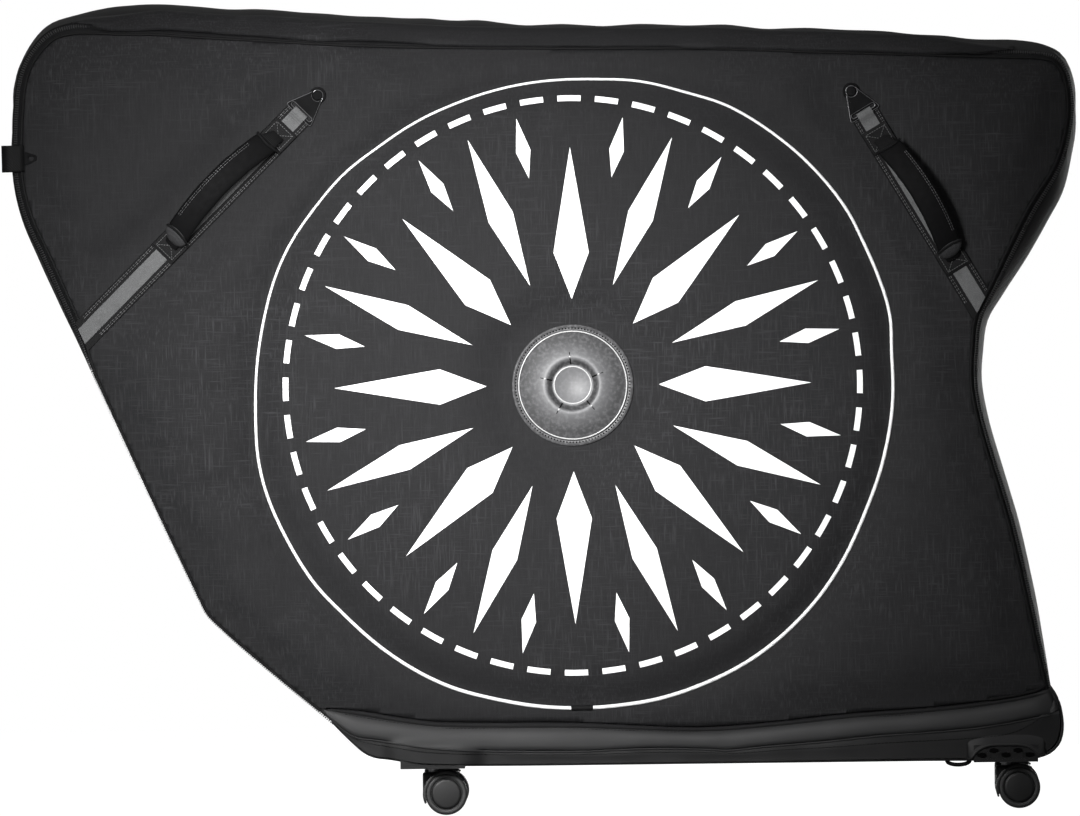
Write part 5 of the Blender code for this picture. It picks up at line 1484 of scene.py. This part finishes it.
CUTS = (((0.0268, 0, 0.0119), -43, (0.0080, 0.0013, 0.0012, 1)),
        ((0.0352, 0, 0.0141), 18, (0.0035, 0.0008, 0.0006, 1)))
DOT_PLACE = (0.0316, 0, 0.0149)


def spun(turn, place):
    """A place in the hub cover's frame, turned about its axis."""
    return Matrix.Rotation(turn, 4, "Z") @ Matrix.Translation(place)


for side, body in BODY_OF.items():
    matrix = panel_matrix(*HUB, side) @ Matrix.Translation((0, 0, 0.0004))
    name = side + "_hub_cover"
    add_piece(turned(HUB_PROFILE, 96, matrix), name + "_shell", hub.material, body,
              [name], smooth_deg=50)
    # The bead and rim cords carry the painted highlight.
    for label, radius, level in BEADS:
        ring = [matrix @ Vector((*point, level)) for point in circle(radius, 96)]
        add_piece(tube(ring, BEAD_WALL, 8, closed=True), f"{name}_{label}", hub_painted_highlight, body)
    holes, highlight_dots = bmesh.new(), bmesh.new()
    # Holes and slits are thin near-black discs and bars on the cover: painted shade inside them.
    for step in range(HOLE_COUNT):
        bmesh.ops.create_cone(holes, cap_ends=True, segments=8, radius1=0.0010, radius2=0.0009,
                              depth=0.0003,
                              matrix=matrix @ spun(2 * pi * step / HOLE_COUNT, HOLE_PLACE))
    for turn in (radians(degrees) for degrees in SLITS_DEG):
        for place, tilt_deg, size in CUTS:
            cut = spun(turn, place) @ Matrix.Rotation(radians(tilt_deg), 4, "Y")
            bmesh.ops.create_cube(holes, size=1.0, matrix=matrix @ cut @ Matrix.Diagonal(size))
        # A small near-white sphere beside each slit: a painted highlight.
        bmesh.ops.create_uvsphere(highlight_dots, u_segments=10, v_segments=6, radius=0.0011,
                                  matrix=matrix @ spun(turn, DOT_PLACE))
    add_piece(holes, name + "_holes", painted_shade_black, body, flat=True, merge=0)
    add_piece(highlight_dots, name + "_dots", hub_painted_highlight, body)
print("hub covers:", len(BODY_OF))

# %% [markdown]
# ## Casters
#
# Each caster has two wheels under a curved hood. The wheels are turned with a rounded
# tread, a groove and a cap. The hood is one bent band with a cheek at each side; a boss
# under the mount holds the bright stem.

# %% Casters
CASTER_X = (-0.1103 * BAG_LENGTH, 0.4266 * BAG_LENGTH)
CASTER_Y = HALF_BASE - 0.046
WHEEL_RADIUS = 0.0235
TRAIL = 0.0148
HOOD_INNER = WHEEL_RADIUS + 0.0008
HOOD_RADIUS = HOOD_INNER + 0.0022
HOOD_HALF = 0.0035 + 0.0003 + 0.013
BOSS_RADIUS = 0.0117
CAP_RADIUS = 0.0179
HOOD_PLATES = (
    # inner and outer radius, start and end in degrees, steps, lowest and highest level, edge
    (HOOD_INNER, HOOD_RADIUS, 56, 204, 40, -HOOD_HALF, HOOD_HALF, 0.0006),
    (WHEEL_RADIUS - 0.0010, HOOD_RADIUS - 0.0004, 62, 198, 30,
     HOOD_HALF - 0.0001, HOOD_HALF + 0.0011, 0.0004),
    (WHEEL_RADIUS - 0.0010, HOOD_RADIUS - 0.0004, 62, 198, 30,
     -HOOD_HALF - 0.0011, -HOOD_HALF + 0.0001, 0.0004),
    (0.0070, HOOD_RADIUS - 0.0012, 62, 186, 30, -0.0033, 0.0033, 0.0004),
)
WHEEL_PROFILE = (
    (0.0030, 0.0000), (0.0214, 0.0000), (0.0228, 0.0006), (0.0235, 0.0020), (0.0235, 0.0108),
    (0.0231, 0.0120), (0.0222, 0.0128), (0.0206, 0.0130), (0.0186, 0.0130), (0.0180, 0.0127),
    (0.0177, 0.0112), (0.0169, 0.0112), (0.0166, 0.0124), (0.0160, 0.0128), (0.0140, 0.0130),
    (0.0000, 0.0128),
)
BOSS_PROFILE = (
    (0.0044, 0.0440), (BOSS_RADIUS, 0.0440), (BOSS_RADIUS, 0.0460), (0.0108, 0.0476),
    (0.0090, 0.0480), (0.0044, 0.0480),
)
STEM_PROFILE = (
    (0.0000, 0.0460), (0.0049, 0.0460), (0.0049, 0.0508), (0.0062, 0.0510), (0.0062, 0.0522),
    (0.0049, 0.0524), (0.0049, 0.0700), (0.0040, 0.0708), (0, 0.0708),
)


def arc_outline(inner, outer, start, end, steps):
    turns = [radians(start + (end - start) * step / steps) for step in range(steps + 1)]
    return ([Vector((inner * cos(t), inner * sin(t))) for t in turns]
            + [Vector((outer * cos(t), outer * sin(t))) for t in reversed(turns)])


def build_caster(name, x, y):
    axle = Matrix.Translation((x + TRAIL, y, WHEEL_RADIUS)) @ Matrix.Rotation(pi / 2, 4, "X")
    upright = Matrix.Translation((x, y, 0))
    parts = [plate([arc_outline(*arc)], low, high, edge, axle)
             for *arc, low, high, edge in HOOD_PLATES]
    parts.append(turned(BOSS_PROFILE, 32, upright))
    rows = []
    for z in (WHEEL_RADIUS + (0.0445 - WHEEL_RADIUS) * step / 12 for step in range(13)):
        wall = x + TRAIL - sqrt(max(0.0, HOOD_INNER ** 2 - (z - WHEEL_RADIUS) ** 2))
        rows.append([(min(x + spot.x, wall), y + spot.y, z) for spot in circle(BOSS_RADIUS)])
    parts.append(sweep(rows, ring=True))
    add_piece(joined(*parts), name + "_hood_shell", caster_plastic, name + "_caster",
              [name + "_hood"], merge=0)
    add_piece(turned(STEM_PROFILE, 28, upright), name + "_stem", zinc, name + "_caster")
    for wheel, flip in ((name + "_outer_wheel", 0), (name + "_inner_wheel", pi)):
        spin = axle @ Matrix.Rotation(flip, 4, "X") @ Matrix.Translation((0, 0, 0.0038))
        shell = add_piece(turned(WHEEL_PROFILE, 64, spin), wheel + "_shell", rubber, wheel,
                          [wheel], smooth_deg=35)
        shell.data.materials.append(wheel_cap)
        for face in shell.data.polygons:
            across = Vector((face.center.x - x - TRAIL, face.center.z - WHEEL_RADIUS))
            face.material_index = int(across.length < CAP_RADIUS)


for side, sign in SIDES.items():
    for end, x in zip(ENDS, CASTER_X):
        build_caster(f"{side}_{end}", x, sign * CASTER_Y)
print("casters:", len(SIDES) * len(ENDS))

# %% [markdown]
# ## End tab, base loop and the inside
#
# A folded tab with a small steel plate sits at the rear end, and a short webbing loop
# hangs under the base. Inside, a bent tube stiffens the floor, a foam cradle with a strap
# carries the bicycle's frame, and a flat pouch behind each ring holds a wheel.

# %% End tab
TAB_HEIGHT = 0.800 * BAG_HEIGHT + BASE_HEIGHT
TAB_LENGTH = 0.030
TAB_SECTION = (
    (-0.0120, -0.0008), (-0.0060, -0.0012), (0.0000, -0.0026), (0.0060, -0.0024),
    (0.0100, 0.0004), (0.0120, 0.0050), (0.0124, 0.0120), (0.0120, 0.0220), (0.0110, 0.0340),
)
TAB_WALL = 0.0022
TAB_PLATE_PLACE = (0, 0, 0.00205)
TAB_PLATE_HALF = 0.00075

station = min((s for s in stations if s.out.x < 0), key=lambda s: abs(s.seam.y - TAB_HEIGHT))
rows = []
for step in range(13):
    edge = station.seam + station.along * (-TAB_LENGTH / 2 + TAB_LENGTH * step / 12)
    spots = [(edge + station.out * lift, depth) for lift, depth in TAB_SECTION]
    rows.append([(spot.x, depth - half_width(spot.y), spot.y) for spot, depth in spots])
tab = add_piece(sweep(rows), "end_tab_webbing", black_web, "door", ["end_tab"])
thicken(tab, TAB_WALL, 0.0)

spot = station.seam - station.out * 0.01335
matrix = (panel_matrix(spot.x, spot.y, "near", tuple(station.along))
          @ Matrix.Translation(TAB_PLATE_PLACE))
corners = [(-0.008, 0.00075), (0.008, 0.00075), (0.00267, -0.01325), (-0.00267, -0.01325)]
bm = plate([rounded(corners, 0.0018), circle(0.0027, 20, (0, -0.0066))], -TAB_PLATE_HALF,
           TAB_PLATE_HALF, 0.0003, matrix)
add_piece(bm, "end_tab_plate_steel", black_metal, "end_tab_plate",
          ["end_tab_plate"])
print("end tab at", round(station.seam.y, 3), "m")

# %% Base loop
LOOP_REACH, LOOP_TOP, LOOP_DROP = 0.0150, 0.0552, 0.0076
LOOP_SIDES, LOOP_WALL = (-0.1395, -0.1085), 0.0040
loop_low, loop_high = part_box("base_loop")
loop_x = (loop_low.x + loop_high.x) / 2
rows = [[(loop_x + LOOP_REACH * cos(t), y, LOOP_TOP - LOOP_DROP * abs(sin(t)) ** 0.8)
         for t in (radians(degrees) for degrees in range(180, 361, 9))]
        for y in np.linspace(*LOOP_SIDES, 9)]
loop = add_piece(sweep(rows), "base_loop_webbing", black_web, "bag_body",
                 ["base_loop"])
thicken(loop, LOOP_WALL)
print("base loop at", round(loop_x, 3), "m")

# %% Frame and cradle
TUBE_RADIUS = 0.008
BOARD_BOTTOM, BOARD_WALL, GAP = BASE_HEIGHT + 0.0025, 0.006, 0.0003
CRADLE_HALF_LENGTH, CRADLE_HEIGHT, FOOT_HEIGHT = 0.075, 0.130, 0.020
NOTCH_RADIUS = 0.030
HOLDER_REACH, HOLDER_WIDTH, HOLDER_WALL = 0.0755, 0.025, 0.0018
HOLDER_HALF = ((0.03, 0.060), (HOLDER_REACH * 0.72, 0.055),
               (HOLDER_REACH * 0.95, 0.035), (HOLDER_REACH, 0), (HOLDER_REACH, -0.020),
               (HOLDER_REACH, -0.050))

level = BOARD_BOTTOM + GAP + BOARD_WALL + GAP + TUBE_RADIUS
rear, front = -0.0790 * BAG_LENGTH, 0.3950 * BAG_LENGTH
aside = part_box("base_frame")[1].y - TUBE_RADIUS
path = rounded([(rear, -aside), (front, -aside), (front, aside), (rear, aside)], 0.05, 10)
add_piece(tube([(p.x, p.y, level) for p in path], TUBE_RADIUS, 20, closed=True, up=(0, 0, 1)),
          "base_frame_tube", zinc, "bag_body", ["base_frame"])

cradle_x = 0.080 * BAG_LENGTH
low = level + TUBE_RADIUS + 0.0005
top = low + CRADLE_HEIGHT
foot = aside + TUBE_RADIUS
section = rounded([(-foot, low), (foot, low), (foot, low + FOOT_HEIGHT), (0.055, low + 0.022),
                   (0.055, top), (-0.055, top), (-0.055, low + 0.022),
                   (-foot, low + FOOT_HEIGHT)], 0.005, 4)
rows = []
for t in (-1 + step / 12 for step in range(25)):
    end = 1 - 0.010 * max(0.0, abs(t) * 12 - 11)
    x = CRADLE_HALF_LENGTH * t
    dip = sqrt(max(0.0, NOTCH_RADIUS ** 2 - x ** 2))
    rows.append([(cradle_x + x, p.x * end, min(p.y, top - dip)) for p in section])
cradle = add_piece(sweep(rows, ring=True), "frame_cradle_foam", foam, "bag_body",
                   ["frame_cradle"])

half_run = [(cradle_x + x, top + z) for x, z in HOLDER_HALF]
run = [(2 * cradle_x - x, z) for x, z in reversed(half_run)] + half_run
run = [tuple(point) for point in smooth_run(run, 0.006)]
holder = add_piece(strap(Matrix.Identity(4), run, HOLDER_WIDTH, HOLDER_WALL),
                   "cradle_strap_webbing", black_web, "bag_body", ["cradle_strap"])
print("frame tube", round(front - rear, 3), "m long, cradle top at", round(top, 3), "m")

# %% Pouches
POUCH_RADIUS = 0.3505
POUCH_CHORD = 0.38
POUCH_WALL = 0.0016
POUCH_CENTRE = Vector((0.0293 * BAG_LENGTH, BASE_HEIGHT + 0.4832 * BAG_HEIGHT))
POUCH_SECTION = (
    (0, 0.0063), (0.0014, 0.020), (0, 0.040), (0.006, 0.050), (0.022, 0.0545),
    (0.08, 0.0558), (0.23, 0.0560), (0.46, 0.0562), (0.73, 0.0562), (1, 0.0562),
)

start = pi - np.arcsin(POUCH_CHORD)
chord = POUCH_CENTRE + Vector((0, POUCH_CHORD * POUCH_RADIUS))
for side, body in BODY_OF.items():
    rows = []
    for t in np.linspace(start, 3 * pi - start, 97):
        rim = POUCH_CENTRE + Vector((cos(t), sin(t))) * POUCH_RADIUS
        spots = [(rim.lerp(chord, share), depth) for share, depth in POUCH_SECTION]
        rows.append([(p.x, SIDES[side] * (half_width(p.y) - depth), p.y) for p, depth in spots])
    pouch = add_piece(sweep(rows), side + "_wheel_pouch", pocket_cloth, body,
                      [side + "_wheel_pocket"])
    thicken(pouch, POUCH_WALL)
print("pouch radius", POUCH_RADIUS, "m")

# %% [markdown]
# ## Cloth at the hinge, and the solids that stay
#
# The door is sewn to the tub all along the rim, and the rim isn't straight, so a strip of
# cloth lies inside it. It is made in short lengths that follow the rim; they stay where
# they are made and ride on no body. The plates, axles, sliders and the board keep their
# solid shape and only get their finish.

# %% Hinge cloth
HINGE_BREAKS = (-0.245, -0.185, -0.125, 0.020, 0.167, 0.300, 0.420, 0.550)
HINGE_WIDTH, HINGE_LOW, HINGE_DEPTH = 0.026, -0.012, 0.0062


def behind_rim(x, lift):
    """A point just inside the near panel, lifted from the tub's rim."""
    spot = Vector((x, 0, level_on(rim_run, x))) + lift
    spot.y = HINGE_DEPTH - half_width(spot.z)
    return spot


for number, (low, high) in enumerate(zip(HINGE_BREAKS, HINGE_BREAKS[1:]), 1):
    a = Vector((low, 0, level_on(rim_run, low)))
    b = Vector((high, 0, level_on(rim_run, high)))
    up = Vector((a.z - b.z, 0, b.x - a.x)).normalized()
    rows = [[behind_rim(x, up * (HINGE_LOW + HINGE_WIDTH * step / 14)) for step in range(15)]
            for x in np.linspace(low - 0.001, high + 0.001, 20)]
    strip = add_piece(sweep(rows), f"hinge_cloth_{number}", cloth, None)
    middle = (a + b) / 2
    middle.y = HINGE_DEPTH - half_width(middle.z)
    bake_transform(strip)
print("hinge strips:", len(HINGE_BREAKS) - 1)

# %% Finishes of the solids that stay
staying = {"base_board": board}
for side in SIDES:
    for end in ENDS:
        staying[f"{side}_{end}_mount"] = skirt
        staying[f"{side}_{end}_axle"] = zinc
for number in (1, 2):
    staying[f"zip_slider_{number}"] = black_metal
    staying[f"zip_pull_{number}"] = black_metal
for name, finish in staying.items():
    solid = bpy.data.objects[name]
    solid.data.materials.clear()
    solid.data.materials.append(finish)
print("solids that stay:", len(staying))
